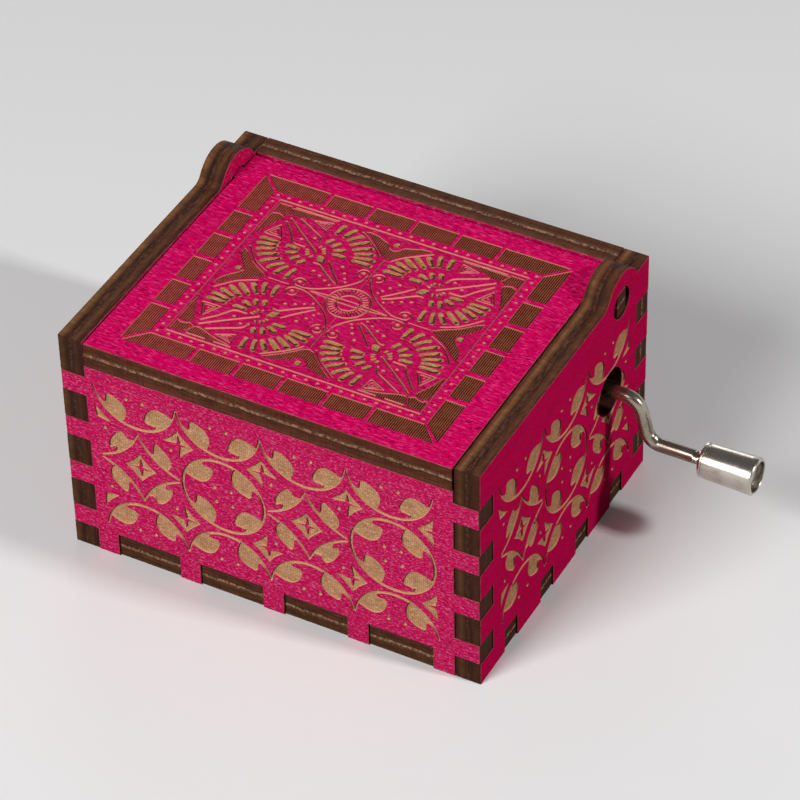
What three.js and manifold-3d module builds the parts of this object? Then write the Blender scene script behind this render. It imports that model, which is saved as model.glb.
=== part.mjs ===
// A hand-cranked music box: a finger-jointed plywood case with a pivoting lid, and an
// eighteen-note cylinder movement screwed to its floor. Millimetres, +Z up. The origin is
// the centre of the case's underside, +X is the crank side and +Y the hinge side.

import * as THREE from "three";
import { mergeGeometries, mergeVertices } from "three/addons/utils/BufferGeometryUtils.js";
import Module from "manifold-3d";

const wasm = await Module();
wasm.setup();

// Plywood case
const caseWidth = 64;
const caseDepth = 51.4;
const sideHeight = 37.6;
const sheet = 3.8;
const glueGap = 0.1;
const cutOverrun = 1;
const cornerFingers = 4;
const cornerFingerHeight = 3.35;
const cornerTopLand = 2;
const frontTabs = 5;
const frontTabWidth = 3.5;
const sideSlots = 4;
const sideSlotWidth = 3.65;
const sideEndLand = 3.65;

// Lid and its pivots
const lidTopDrop = 0.1;
const lidFrontSeat = 0.15;
const lidSideGap = 0.25;
const lidSwingGap = 0.2;
const pivotSetback = 8.8;
const pivotTabWidth = 2.6;
const pivotClearance = 0.15;
const earWall = 2.6;
const earFilletRadius = 2;

// Running fits inside the movement
const fitGap = 0.1;
const runGap = 0.3;

// Cast frame of the movement
const plateThickness = 2;
const plateCornerRadius = 2;
const frameFrontGap = 0.7;
const frameBackGap = 1.4;
const frameLeftGap = 3.7;
const frameRightLip = 1.9;
const postThickness = 2.6;
const postLip = 1.3;
const postHalfWidth = 3.4;
const shaftPostHalfWidth = 2.2;
const shaftBossRadius = 2.8;
const bossRadius = 2.8;
const bossHeight = 3;
const bossSetIn = 3.6;

// Pinned cylinder
const noteCount = 18;
const drumRadius = 6.5;
const drumWall = 0.7;
const drumFromRightWall = 22.2;
const drumFloorGap = 1;
const pinHeight = 0.8;
const pinRadius = 0.24;
const pinSides = 5;
const tuneSteps = 48;
const capThickness = 2.2;
const capRimWidth = 0.9;
const capHubRadius = 2;
const capHubLength = 0.6;
const capDish = 0.8;
const arborRadius = 0.9;
const arborProud = 0.9;

// Worm drive
const gearModule = 0.5;
const wheelTeeth = 24;
const wheelWidth = 2.6;
const wheelFrontHubRadius = 3.2;
const wheelBackHubRadius = 2.2;
const wheelBackHubLength = 1.2;
const wheelAddendum = 0.4;
const wheelDedendum = 0.6;
const wormPitchRadius = 2;
const wormAddendum = 0.45;
const wormDedendum = 0.6;
const meshGap = 0.1;
const backlash = 0.3;
const flankSlopeShare = 0.3;
const wormTurns = 5;
const wormEndLand = 0.5;
const wormStepsPerTurn = 16;
const threadRunOutShare = 0.08;

// Crank shaft
const shaftRadius = 0.9;
const collarRadius = 1.9;
const hubRadius = 1.7;
const hubReach = 5.6;
const socketDepth = 4.5;
const clipRadius = 2.4;
const clipThickness = 0.5;
const clipMouthShare = 0.17;
const shaftTail = 1.3;
const crankHoleRadius = 3.7;
const crankHoleDrop = 0.35;

// Crank and knob
const rodRadius = 1;
const crankReach = 4.3;
const armDrop = 7;
const armLean = 1.8;
const armBendRadius = 2.6;
const knobBendRadius = 2.4;
const knobStand = 8.2;
const knobLength = 8.25;
const knobRadius = 2.55;
const knobBoreGap = 0.15;
const knobChamfer = 0.25;
const knobRimWidth = 0.35;
const knobGrooveWidth = 0.3;
const knobGrooveDepth = 0.15;
const knobFlare = 0.2;
const knobLip = 0.25;
const knobRecessDepth = 1.5;
const washerThickness = 0.4;
const rodTipDrop = 0.5;
const crimpLength = 1.2;
const crimpFlatShare = 0.8;
const crimpSpreadShare = 1.2;

// Comb
const combEndMargin = 0.5;
const combTipGap = 0.3;
const combRootLip = 0.9;
const combRise = 0.5;
const combRootThickness = 1.8;
const toothThickness = 0.8;
const toothSlit = 0.3;
const combRootDepth = 7.5;
const trebleToothShare = 0.55;
const ledgeSetback = 0.5;
const leadCount = 6;
const leadLengthShare = 0.23;
const leadHeight = 1.6;
const leadTipSetback = 0.7;
const screwHeadRadius = 2;
const screwHeadHeight = 1.3;
const screwRadius = 1;
const screwLength = 6;
const combScrewInset = 3.4;
const combScrewSpreadShare = 0.3;

// Front bearing bracket of the cylinder
const bracketSheet = 1.2;
const bracketFootLength = 5.4;
const bracketFootLip = 0.5;
const bracketEdge = 0.4;
const bracketCheekRadius = 3;
const bracketScrewHeadRadius = 1.5;
const bracketScrewHeadHeight = 0.9;
const bracketScrewSpread = 3.1;
const bracketScrewRadius = 0.7;
const bracketScrewLength = 2.6;

// Countersunk mounting screws
const mountScrewRadius = 1.2;
const mountHeadRadius = 2.5;
const mountHeadHeight = 1.4;
const mountHeadSink = 0.2;
const mountTipGap = 0.3;

// Facets of round forms
const fineSegments = 40;
const roundSegments = 24;
const smallSegments = 16;
const rodSides = 12;
const bendSteps = 6;

// Places worked out from the sizes above
const halfWidth = caseWidth / 2;
const halfDepth = caseDepth / 2;
const innerHalfWidth = halfWidth - sheet;
const innerHalfDepth = halfDepth - sheet;
const lidTop = sideHeight - lidTopDrop;
const lidUnderside = lidTop - sheet;
const frontTop = lidUnderside - lidFrontSeat;
const pivotY = halfDepth - pivotSetback;
const pivotZ = (lidTop + lidUnderside) / 2;
const pivotHoleRadius = Math.hypot(sheet, pivotTabWidth) / 2 + pivotClearance;
const earRadius = pivotHoleRadius + earWall;
const lidTailCorner = pivotSetback - sheet - lidSwingGap;
const lidTail = Math.sqrt(lidTailCorner ** 2 - (sheet / 2) ** 2);

const frameBottom = sheet + glueGap;
const plateTop = frameBottom + plateThickness;
const frameFront = -innerHalfDepth + frameFrontGap;
const frameBack = innerHalfDepth - frameBackGap;
const frameLeft = -innerHalfWidth + frameLeftGap;

const pinCircle = drumRadius + pinHeight;
const wheelPitchRadius = (gearModule * wheelTeeth) / 2;
const wheelTipRadius = wheelPitchRadius + wheelAddendum;
const wormTipRadius = wormPitchRadius + wormAddendum;
const wormRootRadius = wormPitchRadius - wormDedendum;
const axialPitch = Math.PI * gearModule;
const toothWidth = (axialPitch - backlash) / 2;
const widestRadius = Math.max(pinCircle, wheelTipRadius);
const drumX = innerHalfWidth - drumFromRightWall;
const drumZ = plateTop + drumFloorGap + widestRadius;
const crankZ = drumZ + wheelPitchRadius + wormPitchRadius + meshGap;

const postFront = frameBack - postLip - postThickness;
const wheelBack = postFront - runGap - wheelBackHubLength;
const crankY = wheelBack - wheelWidth / 2;
const drumBack = crankY - wormTipRadius - runGap;
const bracketFront = frameFront + bracketFootLip + bracketFootLength;
const bracketHalfWidth = bracketScrewSpread + bracketScrewHeadRadius + bracketEdge;
const bracketBack = bracketFront + bracketSheet;
const drumFront = bracketBack + runGap + capHubLength;

const postInset = widestRadius + runGap;
const leftPostRight = drumX - postInset;
const leftPostLeft = leftPostRight - postThickness;
const rightPostLeft = drumX + postInset;
const rightPostRight = rightPostLeft + postThickness;
const frameRight = rightPostRight + frameRightLip;
const wormHalfLength = (wormTurns * axialPitch) / 2 + wormEndLand;

const combFront = drumFront + combEndMargin;
const combBack = drumBack - combEndMargin;
const toothPitch = (combBack - combFront) / noteCount;
const combTip = drumX - pinCircle - combTipGap;
const combRoot = frameLeft + combRootLip;
const bassToothLength = combTip - combRoot - combRootDepth;
const combTop = drumZ + combRise;
const combBottom = combTop - combRootThickness;
const ledgeTop = combBottom - fitGap;

const hubEnd = rightPostRight + hubReach;
const rodStart = hubEnd - socketDepth + runGap;
const firstBend = halfWidth + crankReach;
const secondBend = firstBend + armLean;
const knobZ = crankZ - armDrop;
const knobStart = secondBend + knobStand;
const knobEnd = knobStart + knobLength;
const knobEndRadius = knobRadius + knobFlare;
const knobRecessRadius = knobEndRadius - knobChamfer - knobLip;

// Materials
const paintedPly = finish("#d1005c", 0.55, 0);
const castZinc = finish("#a9a9a6", 0.45, 0.85);
const springSteel = finish("#b9bcc0", 0.3, 1);
const polishedNickel = finish("#cfc8be", 0.12, 1);
const brass = finish("#c79a4a", 0.28, 1);
const darkPlastic = finish("#2a2622", 0.5, 0);
const whitePlastic = finish("#d9d4c6", 0.5, 0);

function finish(color, roughness, metalness) {
  return new THREE.MeshStandardMaterial({ color, roughness, metalness });
}

// A closed geometry as a solid that can be joined and cut.
function solid(geometry) {
  const bare = geometry.index ? geometry.toNonIndexed() : geometry.clone();
  bare.deleteAttribute("normal");
  bare.deleteAttribute("uv");
  const merged = mergeVertices(bare);
  const index = merged.index.array;
  const triVerts = [];
  for (let i = 0; i < index.length; i += 3) {
    const [a, b, c] = [index[i], index[i + 1], index[i + 2]];
    if (a !== b && b !== c && c !== a) triVerts.push(a, b, c);
  }
  return new wasm.Manifold(
    new wasm.Mesh({
      numProp: 3,
      vertProperties: merged.attributes.position.array,
      triVerts: new Uint32Array(triVerts),
    }),
  );
}

// A solid as a geometry with flat faces.
function geometryOf(body) {
  const mesh = body.getMesh();
  const geometry = new THREE.BufferGeometry();
  geometry.setAttribute("position", new THREE.BufferAttribute(mesh.vertProperties, mesh.numProp));
  geometry.setIndex(new THREE.BufferAttribute(mesh.triVerts, 1));
  const flat = geometry.toNonIndexed();
  flat.computeVertexNormals();
  return flat;
}

// The base geometry with others joined to it and cut from it.
function shaped(base, { joined = [], cut = [] }) {
  let body = solid(base);
  for (const geometry of joined) body = body.add(solid(geometry));
  for (const geometry of cut) body = body.subtract(solid(geometry));
  return geometryOf(body);
}

function named(name, geometry, material) {
  const mesh = new THREE.Mesh(geometry, material);
  mesh.name = name;
  return mesh;
}

// A shape drawn in (x, y), from one height to another.
function extrudedZ(shape, from, to, curveSegments = roundSegments / 2) {
  const options = { depth: to - from, bevelEnabled: false, curveSegments };
  return new THREE.ExtrudeGeometry(shape, options).translate(0, 0, from);
}

// A shape drawn in (x, z), from one depth to another.
function extrudedY(shape, from, to, curveSegments = roundSegments / 2) {
  return extrudedZ(shape, 0, to - from, curveSegments).rotateX(Math.PI / 2).translate(0, to, 0);
}

// A shape drawn in (y, z), from one width to another.
function extrudedX(shape, from, to, curveSegments = roundSegments / 2) {
  const upright = new THREE.Matrix4().set(0, 0, 1, from, 1, 0, 0, 0, 0, 1, 0, 0, 0, 0, 0, 1);
  return extrudedZ(shape, 0, to - from, curveSegments).applyMatrix4(upright);
}

// A profile of [radius, height] points, turned about the Z axis.
function turnedZ(profile, segments = roundSegments) {
  const points = profile.map(([radius, height]) => new THREE.Vector2(radius, height));
  return new THREE.LatheGeometry(points, segments).rotateX(Math.PI / 2);
}

// The same turned about a line along +X or +Y, heights read along it.
function turnedX(profile, segments) {
  return turnedZ(profile, segments).rotateY(Math.PI / 2);
}

function turnedY(profile, segments) {
  return turnedZ(profile, segments).rotateX(-Math.PI / 2);
}

// The closed profile of a ring between two radii and two heights.
function ringProfile(inner, outer, from, to) {
  return [[outer, from], [outer, to], [inner, to], [inner, from], [outer, from]];
}

// The profile of a plain rod between two heights.
function rodProfile(radius, from, to) {
  return [[0, from], [radius, from], [radius, to], [0, to]];
}

function rectangle(left, bottom, right, top) {
  const corners = [[left, bottom], [right, bottom], [right, top], [left, top]];
  return new THREE.Shape(corners.map(([x, y]) => new THREE.Vector2(x, y)));
}

function roundedRectangle(left, bottom, right, top, radius) {
  const shape = new THREE.Shape();
  shape.absarc(right - radius, bottom + radius, radius, -Math.PI / 2, 0);
  shape.absarc(right - radius, top - radius, radius, 0, Math.PI / 2);
  shape.absarc(left + radius, top - radius, radius, Math.PI / 2, Math.PI);
  shape.absarc(left + radius, bottom + radius, radius, Math.PI, 1.5 * Math.PI);
  return shape;
}

function circleHole(x, y, radius) {
  return new THREE.Path().absarc(x, y, radius, 0, 2 * Math.PI, true);
}

// An upright with a round head about (x, z), its foot at a height.
function roundHeaded(x, z, headRadius, footHalfWidth, foot) {
  const shape = new THREE.Shape();
  shape.moveTo(x - footHalfWidth, foot);
  shape.lineTo(x + footHalfWidth, foot);
  shape.absarc(x, z, headRadius, 0, Math.PI);
  return shape;
}

// Equal stretches of a width, the first at `from` and the last ending at `to`.
function evenSpans(from, to, width, count) {
  const pitch = (to - from - width) / (count - 1);
  return Array.from({ length: count }, (_, i) => [from + i * pitch, from + i * pitch + width]);
}

function widened(spans, by) {
  return spans.map(([start, end]) => [start - by, end + by]);
}

// Points of an edge that runs along one axis and steps aside over each span of that
// axis. A positive step is to the left of the way, so it cuts into a panel's outline.
function steppedEdge(from, to, spans, step) {
  const way = to.clone().sub(from).normalize();
  const left = new THREE.Vector2(-way.y, way.x);
  const sign = Math.sign(way.x + way.y);
  const start = from.dot(way);
  const point = (distance, side) =>
    from.clone().addScaledVector(way, distance).addScaledVector(left, side);
  const stretches = spans.map((span) => span.map((c) => c * sign - start).sort((a, b) => a - b));
  stretches.sort((a, b) => a[0] - b[0]);
  const steps = stretches.flatMap(([near, far]) => [
    point(near, 0),
    point(near, step),
    point(far, step),
    point(far, 0),
  ]);
  return [from.clone(), ...steps];
}

// A closed tube through rings of points, each ring turning left about the way ahead.
function sweptGeometry(rings) {
  const sides = rings[0].length;
  const vertices = rings.flat();
  const middles = [rings[0], rings.at(-1)].map((ring) => {
    const sum = ring.reduce((total, p) => total.add(p), new THREE.Vector3());
    return sum.divideScalar(sides);
  });
  const [startMiddle, endMiddle] = [vertices.length, vertices.length + 1];
  const lastRing = (rings.length - 1) * sides;
  const triangles = [];
  for (let i = 0; i < sides; i++) {
    const next = (i + 1) % sides;
    for (let ring = 0; ring < lastRing; ring += sides) {
      triangles.push(ring + i, ring + next, ring + sides + next);
      triangles.push(ring + i, ring + sides + next, ring + sides + i);
    }
    triangles.push(startMiddle, next, i);
    triangles.push(endMiddle, lastRing + i, lastRing + next);
  }
  const geometry = new THREE.BufferGeometry().setFromPoints([...vertices, ...middles]);
  geometry.setIndex(triangles);
  return geometry;
}

// Where the panels interlock
const cornerSpans = evenSpans(
  sheet,
  frontTop - cornerTopLand,
  cornerFingerHeight,
  cornerFingers,
);
const frontSlotCount = frontTabs - 1;
const frontSlotWidth = (2 * innerHalfWidth - frontTabs * frontTabWidth) / frontSlotCount;
const frontSpans = evenSpans(
  -innerHalfWidth + frontTabWidth,
  innerHalfWidth - frontTabWidth,
  frontSlotWidth,
  frontSlotCount,
);
const sideSpans = evenSpans(
  -innerHalfDepth + sideEndLand,
  innerHalfDepth - sideEndLand,
  sideSlotWidth,
  sideSlots,
);
const slotDepth = sheet + glueGap;

// The front or back panel, fingered into the sides and tabbed over the floor's fingers.
function endPanel(name, from, top) {
  const reach = innerHalfWidth - glueGap;
  const corners = [[-reach, 0], [reach, 0], [reach, top], [-reach, top]];
  const [footLeft, footRight, topRight, topLeft] = corners.map((c) => new THREE.Vector2(...c));
  const outline = new THREE.Shape([
    ...steppedEdge(footLeft, footRight, widened(frontSpans, glueGap), slotDepth),
    ...steppedEdge(footRight, topRight, cornerSpans, -slotDepth),
    topRight,
    ...steppedEdge(topLeft, footLeft, cornerSpans, -slotDepth),
  ]);
  return named(name, extrudedY(outline, from, from + sheet), paintedPly);
}

// The rear top edge of a side panel: up over the ear, down its fillet to the plain edge.
function earOutline() {
  const notch = Math.sqrt(earRadius ** 2 - (sideHeight - pivotZ) ** 2);
  const filletRise = sideHeight + earFilletRadius - pivotZ;
  const filletRun = Math.sqrt((earRadius + earFilletRadius) ** 2 - filletRise ** 2);
  const tangent = Math.atan2(filletRise, -filletRun);
  const path = new THREE.Path();
  path.absarc(pivotY, pivotZ, earRadius, Math.atan2(sideHeight - pivotZ, notch), tangent);
  const filletY = pivotY - filletRun;
  const filletZ = sideHeight + earFilletRadius;
  path.absarc(filletY, filletZ, earFilletRadius, tangent - Math.PI, -Math.PI / 2, true);
  return path.getPoints(roundSegments / 2);
}

// A side panel with its slots, ear and pivot hole, and any further round holes.
function sidePanel(name, from, holes) {
  const corners = [
    [-halfDepth, 0],
    [halfDepth, 0],
    [halfDepth, sideHeight],
    [-halfDepth, sideHeight],
  ];
  const [footFront, footBack, topBack, topFront] = corners.map((c) => new THREE.Vector2(...c));
  const corner = widened(cornerSpans, glueGap);
  const outline = new THREE.Shape([
    ...steppedEdge(footFront, footBack, widened(sideSpans, glueGap), slotDepth),
    ...steppedEdge(footBack, topBack, corner, slotDepth),
    topBack,
    ...earOutline(),
    ...steppedEdge(topFront, footFront, corner, slotDepth),
  ]);
  outline.holes.push(circleHole(pivotY, pivotZ, pivotHoleRadius), ...holes);
  return named(name, extrudedX(outline, from, from + sheet), paintedPly);
}

// The floor, with a finger for each slot and a countersunk hole for each mounting screw.
function floorPanel() {
  const [x, y] = [innerHalfWidth - glueGap, innerHalfDepth - glueGap];
  const corners = [[-x, -y], [x, -y], [x, y], [-x, y]];
  const [frontLeft, frontRight, backRight, backLeft] = corners.map((c) => new THREE.Vector2(...c));
  const outline = new THREE.Shape([
    ...steppedEdge(frontLeft, frontRight, frontSpans, -slotDepth),
    ...steppedEdge(frontRight, backRight, sideSpans, -slotDepth),
    ...steppedEdge(backRight, backLeft, frontSpans, -slotDepth),
    ...steppedEdge(backLeft, frontLeft, sideSpans, -slotDepth),
  ]);
  const bore = mountScrewRadius + runGap;
  const mouth = mountHeadRadius + runGap;
  const sink = mountHeadSink + mountHeadHeight;
  const countersink = [
    [0, -cutOverrun],
    [mouth, -cutOverrun],
    [mouth, mountHeadSink],
    [bore, sink],
    [bore, sheet + cutOverrun],
    [0, sheet + cutOverrun],
  ];
  const holes = mountPlaces.map((at) => turnedZ(countersink).translate(at.x, at.y, 0));
  return named("bottom_panel", shaped(extrudedZ(outline, 0, sheet), { cut: holes }), paintedPly);
}

// The lid: a plain board whose two tabs turn in the ears' holes.
function lidPanel() {
  const edge = innerHalfWidth - lidSideGap;
  const tab = [[pivotY - pivotTabWidth / 2, pivotY + pivotTabWidth / 2]];
  const corners = [
    [-edge, -halfDepth],
    [edge, -halfDepth],
    [edge, pivotY + lidTail],
    [-edge, pivotY + lidTail],
  ];
  const [frontLeft, frontRight, backRight, backLeft] = corners.map((c) => new THREE.Vector2(...c));
  const tabLength = halfWidth - glueGap - edge;
  const outline = new THREE.Shape([
    frontLeft,
    ...steppedEdge(frontRight, backRight, tab, -tabLength),
    backRight,
    ...steppedEdge(backLeft, frontLeft, tab, -tabLength),
  ]);
  return named("lid", extrudedZ(outline, lidUnderside, lidTop), paintedPly);
}

// Where the two mounting screws come up into the frame: back left and front right.
const mountPlaces = [
  new THREE.Vector2(frameLeft + bossSetIn, frameBack - bossSetIn),
  new THREE.Vector2(frameRight - bossSetIn, frameFront + bossSetIn),
];
const mountHoleTop = plateTop + bossHeight - plateThickness / 2;

// The comb's screws stand in a row along its root.
const combScrewPlaces = [-combScrewSpreadShare, combScrewSpreadShare].map(
  (share) =>
    new THREE.Vector2(
      combRoot + combScrewInset,
      (combFront + combBack) / 2 + share * (combBack - combFront),
    ),
);
const bracketScrewPlaces = [-bracketScrewSpread, bracketScrewSpread].map(
  (offset) => new THREE.Vector2(drumX + offset, bracketFront - bracketFootLength / 2),
);

// The length of a tooth, longest at the front end of the comb.
function toothLength(note) {
  const share = THREE.MathUtils.lerp(1, trebleToothShare, note / (noteCount - 1));
  return share * bassToothLength;
}

// The comb's root seen from above, its inner edge slanting with the slits.
function rootOutline() {
  const inner = [0, noteCount - 1].map((note) => combTip - toothLength(note) - ledgeSetback);
  return new THREE.Shape([
    new THREE.Vector2(combRoot, combFront),
    new THREE.Vector2(inner[0], combFront),
    new THREE.Vector2(inner[1], combBack),
    new THREE.Vector2(combRoot, combBack),
  ]);
}

// A post of the crank shaft, narrower below its round boss.
function shaftPost(from) {
  const stem = rectangle(
    crankY - shaftPostHalfWidth,
    plateTop - plateThickness / 2,
    crankY + shaftPostHalfWidth,
    crankZ,
  );
  const boss = new THREE.Shape().absarc(crankY, crankZ, shaftBossRadius, 0, 2 * Math.PI);
  return [stem, boss].map((shape) => extrudedX(shape, from, from + postThickness));
}

// The one-piece cast frame: plate, comb ledge, cylinder post, two shaft posts and bosses.
function movementFrame() {
  const plate = roundedRectangle(frameLeft, frameFront, frameRight, frameBack, plateCornerRadius);
  const post = roundHeaded(drumX, drumZ, postHalfWidth, postHalfWidth, plateTop - plateThickness / 2);
  const joined = [
    extrudedZ(rootOutline(), plateTop - plateThickness / 2, ledgeTop),
    extrudedY(post, postFront, postFront + postThickness),
    ...shaftPost(leftPostLeft),
    ...shaftPost(rightPostLeft),
  ];
  const boss = rodProfile(bossRadius, plateTop - plateThickness / 2, plateTop + bossHeight);
  for (const at of mountPlaces) joined.push(turnedZ(boss).translate(at.x, at.y, 0));
  const cut = [
    ...boresZ(mountPlaces, mountScrewRadius + fitGap, frameBottom - cutOverrun, mountHoleTop),
    ...boresZ(
      combScrewPlaces,
      screwRadius + fitGap,
      combTop - screwLength - runGap,
      ledgeTop + cutOverrun,
    ),
    ...boresZ(
      bracketScrewPlaces,
      bracketScrewRadius + fitGap,
      plateTop + bracketSheet + fitGap - bracketScrewLength - runGap,
      plateTop + cutOverrun,
    ),
    bore(turnedY, arborRadius + fitGap, postFront, postFront + postThickness, drumX, 0, drumZ),
    bore(turnedX, shaftRadius + fitGap, leftPostLeft, leftPostRight, 0, crankY, crankZ),
    bore(turnedX, hubRadius + fitGap, rightPostLeft, rightPostRight, 0, crankY, crankZ),
  ];
  const bottom = extrudedZ(plate, frameBottom, plateTop, bendSteps / 2);
  return named("movement_frame", shaped(bottom, { joined, cut }), castZinc);
}

// Upright holes of one radius at several places.
function boresZ(places, radius, from, to) {
  const profile = rodProfile(radius, from, to);
  return places.map((at) => turnedZ(profile, smallSegments).translate(at.x, at.y, 0));
}

// A through hole from face to face, turned about its own axis.
function bore(turned, radius, from, to, x, y, z) {
  const profile = rodProfile(radius, from - cutOverrun, to + cutOverrun);
  return turned(profile, roundSegments).translate(x, y, z);
}

// The steel comb: a root plate, eighteen graduated teeth and lead under the longest.
function comb() {
  const outline = new THREE.Shape();
  outline.moveTo(combTip, combBack);
  outline.lineTo(combRoot, combBack);
  outline.lineTo(combRoot, combFront);
  outline.lineTo(combTip, combFront);
  for (let note = 0; note < noteCount - 1; note++) {
    const slitFront = combFront + (note + 1) * toothPitch - toothSlit / 2;
    const slitRoot = combTip - toothLength(note);
    outline.lineTo(combTip, slitFront);
    outline.lineTo(slitRoot, slitFront);
    outline.lineTo(slitRoot, slitFront + toothSlit);
    outline.lineTo(combTip, slitFront + toothSlit);
  }
  const teeth = extrudedZ(outline, combTop - toothThickness, combTop);
  const root = extrudedZ(rootOutline(), combBottom, combTop - toothThickness / 2);
  const joined = [root, ...toothLeads()];
  const radius = screwRadius + fitGap;
  const cut = boresZ(combScrewPlaces, radius, combBottom - cutOverrun, combTop + cutOverrun);
  return named("comb", shaped(teeth, { joined, cut }), springSteel);
}

// The leads that tune the low teeth, each shorter and thinner than the one before.
function toothLeads() {
  return Array.from({ length: leadCount }, (_, note) => {
    const share = 1 - note / (leadCount + 1);
    const front = combFront + note * toothPitch + (note ? toothSlit / 2 : 0);
    const back = combFront + (note + 1) * toothPitch - toothSlit / 2;
    const tip = combTip - leadTipSetback;
    const block = rectangle(tip - share * leadLengthShare * bassToothLength, front, tip, back);
    const top = combTop - toothThickness / 2;
    return extrudedZ(block, combTop - toothThickness - share * leadHeight, top);
  });
}

// A screw with a domed head on a plate at a height, its shank below it.
function domedScrew(name, at, seat, headRadius, headHeight, radius, length) {
  const under = seat + fitGap;
  const profile = [
    [0, under - length],
    [radius, under - length],
    [radius, under],
    [headRadius, under],
    [headRadius, under + headHeight / 2],
    [headRadius * Math.cos(Math.PI / 5), under + headHeight * Math.sin(Math.PI / 3)],
    [headRadius * Math.cos(Math.PI / 3), under + headHeight],
    [0, under + headHeight],
  ];
  return named(name, turnedZ(profile, smallSegments).translate(at.x, at.y, 0), springSteel);
}

function combScrews() {
  return ["comb_screw_front", "comb_screw_back"].map((name, i) =>
    domedScrew(
      name,
      combScrewPlaces[i],
      combTop,
      screwHeadRadius,
      screwHeadHeight,
      screwRadius,
      screwLength,
    ),
  );
}

// Which teeth a step of the tune plucks: a rolling upper voice over a slow bass.
function notesAtStep(step) {
  const turn = (2 * Math.PI * step) / tuneSteps;
  const middle = (noteCount * 3) / 5;
  const swing = noteCount / 5;
  const voice = Math.round(middle + swing * Math.sin(3 * turn) + swing * Math.sin(turn) / 2);
  const notes = [Math.min(voice, noteCount - 1)];
  if (step % 3 === 0) notes.push((step / 3) % 4);
  if (step % 2 === 0) notes.push(Math.max(voice - 4, 0));
  return notes;
}

// Every pin of the tune, standing out of the drum's wall, as one geometry.
function tunePins() {
  const length = pinHeight + drumWall / 2;
  const pins = [];
  for (let step = 0; step < tuneSteps; step++) {
    for (const note of notesAtStep(step)) {
      const pin = new THREE.CylinderGeometry(pinRadius, pinRadius, length, pinSides);
      const along = combFront + (note + 0.5) * toothPitch;
      pin.rotateX(Math.PI / 2).translate(0, along, drumRadius + pinHeight - length / 2);
      pins.push(pin.rotateY((2 * Math.PI * step) / tuneSteps));
    }
  }
  return mergeGeometries(pins);
}

// The pinned brass tube that carries the tune.
function drum() {
  const tube = turnedY(
    ringProfile(drumRadius - drumWall, drumRadius, drumFront, drumBack),
    tuneSteps,
  );
  const pinned = shaped(tube, { joined: [tunePins()] });
  return named("drum", pinned.translate(drumX, 0, drumZ), brass);
}

// An end plug of the drum, dished between its rim and its hub.
function drumCap(name, face, outward, hubLength) {
  const rim = drumRadius - drumWall - fitGap;
  const hole = arborRadius + fitGap / 2;
  const profile = [
    [rim, -capThickness],
    [rim, 0],
    [rim - capRimWidth, 0],
    [rim - capRimWidth, -capDish],
    [capHubRadius, -capDish],
    [capHubRadius, hubLength],
    [hole, hubLength],
    [hole, -capThickness],
    [rim, -capThickness],
  ];
  const cap = turnedY(profile);
  if (outward < 0) cap.rotateX(Math.PI);
  return named(name, cap.translate(drumX, face, drumZ), darkPlastic);
}

function drumArbor() {
  const front = bracketFront - arborProud;
  const back = postFront + postThickness + arborProud;
  const chamfer = arborRadius / 4;
  const profile = [
    [0, front],
    [arborRadius - chamfer, front],
    [arborRadius, front + chamfer],
    [arborRadius, back - chamfer],
    [arborRadius - chamfer, back],
    [0, back],
  ];
  return named("drum_arbor", turnedY(profile).translate(drumX, 0, drumZ), springSteel);
}

// The outline of the worm wheel, a gap at the top of it.
function wheelOutline() {
  const rootRadius = wheelPitchRadius - wheelDedendum;
  const tipHalf = toothWidth / 2 - flankSlopeShare * wheelAddendum;
  const rootHalf = toothWidth / 2 + flankSlopeShare * wheelDedendum;
  const points = [];
  for (let tooth = 0; tooth < wheelTeeth; tooth++) {
    const middle = Math.PI / 2 + (2 * Math.PI * (tooth + 0.5)) / wheelTeeth;
    const flank = [
      [rootRadius, -rootHalf],
      [wheelTipRadius, -tipHalf],
      [wheelTipRadius, tipHalf],
      [rootRadius, rootHalf],
    ];
    for (const [radius, half] of flank) {
      const angle = middle + half / radius;
      points.push(new THREE.Vector2(radius * Math.cos(angle), radius * Math.sin(angle)));
    }
  }
  return new THREE.Shape(points);
}

// The wheel's teeth lean as the worm's thread does, by a turn in step with depth.
function wormWheel() {
  const teeth = extrudedY(wheelOutline(), -wheelWidth / 2, wheelWidth / 2);
  const lead = axialPitch / (2 * Math.PI * wormPitchRadius);
  const position = teeth.getAttribute("position");
  const point = new THREE.Vector3();
  const upright = new THREE.Vector3(0, 1, 0);
  for (let i = 0; i < position.count; i++) {
    point.fromBufferAttribute(position, i);
    point.applyAxisAngle(upright, (lead * point.y) / wheelPitchRadius);
    position.setXYZ(i, point.x, point.y, point.z);
  }
  const hubFront = drumBack + fitGap - crankY;
  const hubs = [
    turnedY(rodProfile(wheelFrontHubRadius, hubFront, 0)),
    turnedY(rodProfile(wheelBackHubRadius, 0, wheelWidth / 2 + wheelBackHubLength)),
  ];
  const hole = bore(turnedY, arborRadius + fitGap / 2, -wheelWidth, wheelWidth, 0, 0, 0);
  const wheel = shaped(teeth, { joined: hubs, cut: [hole] });
  return named("worm_wheel", wheel.translate(drumX, crankY, drumZ), whitePlastic);
}

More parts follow.
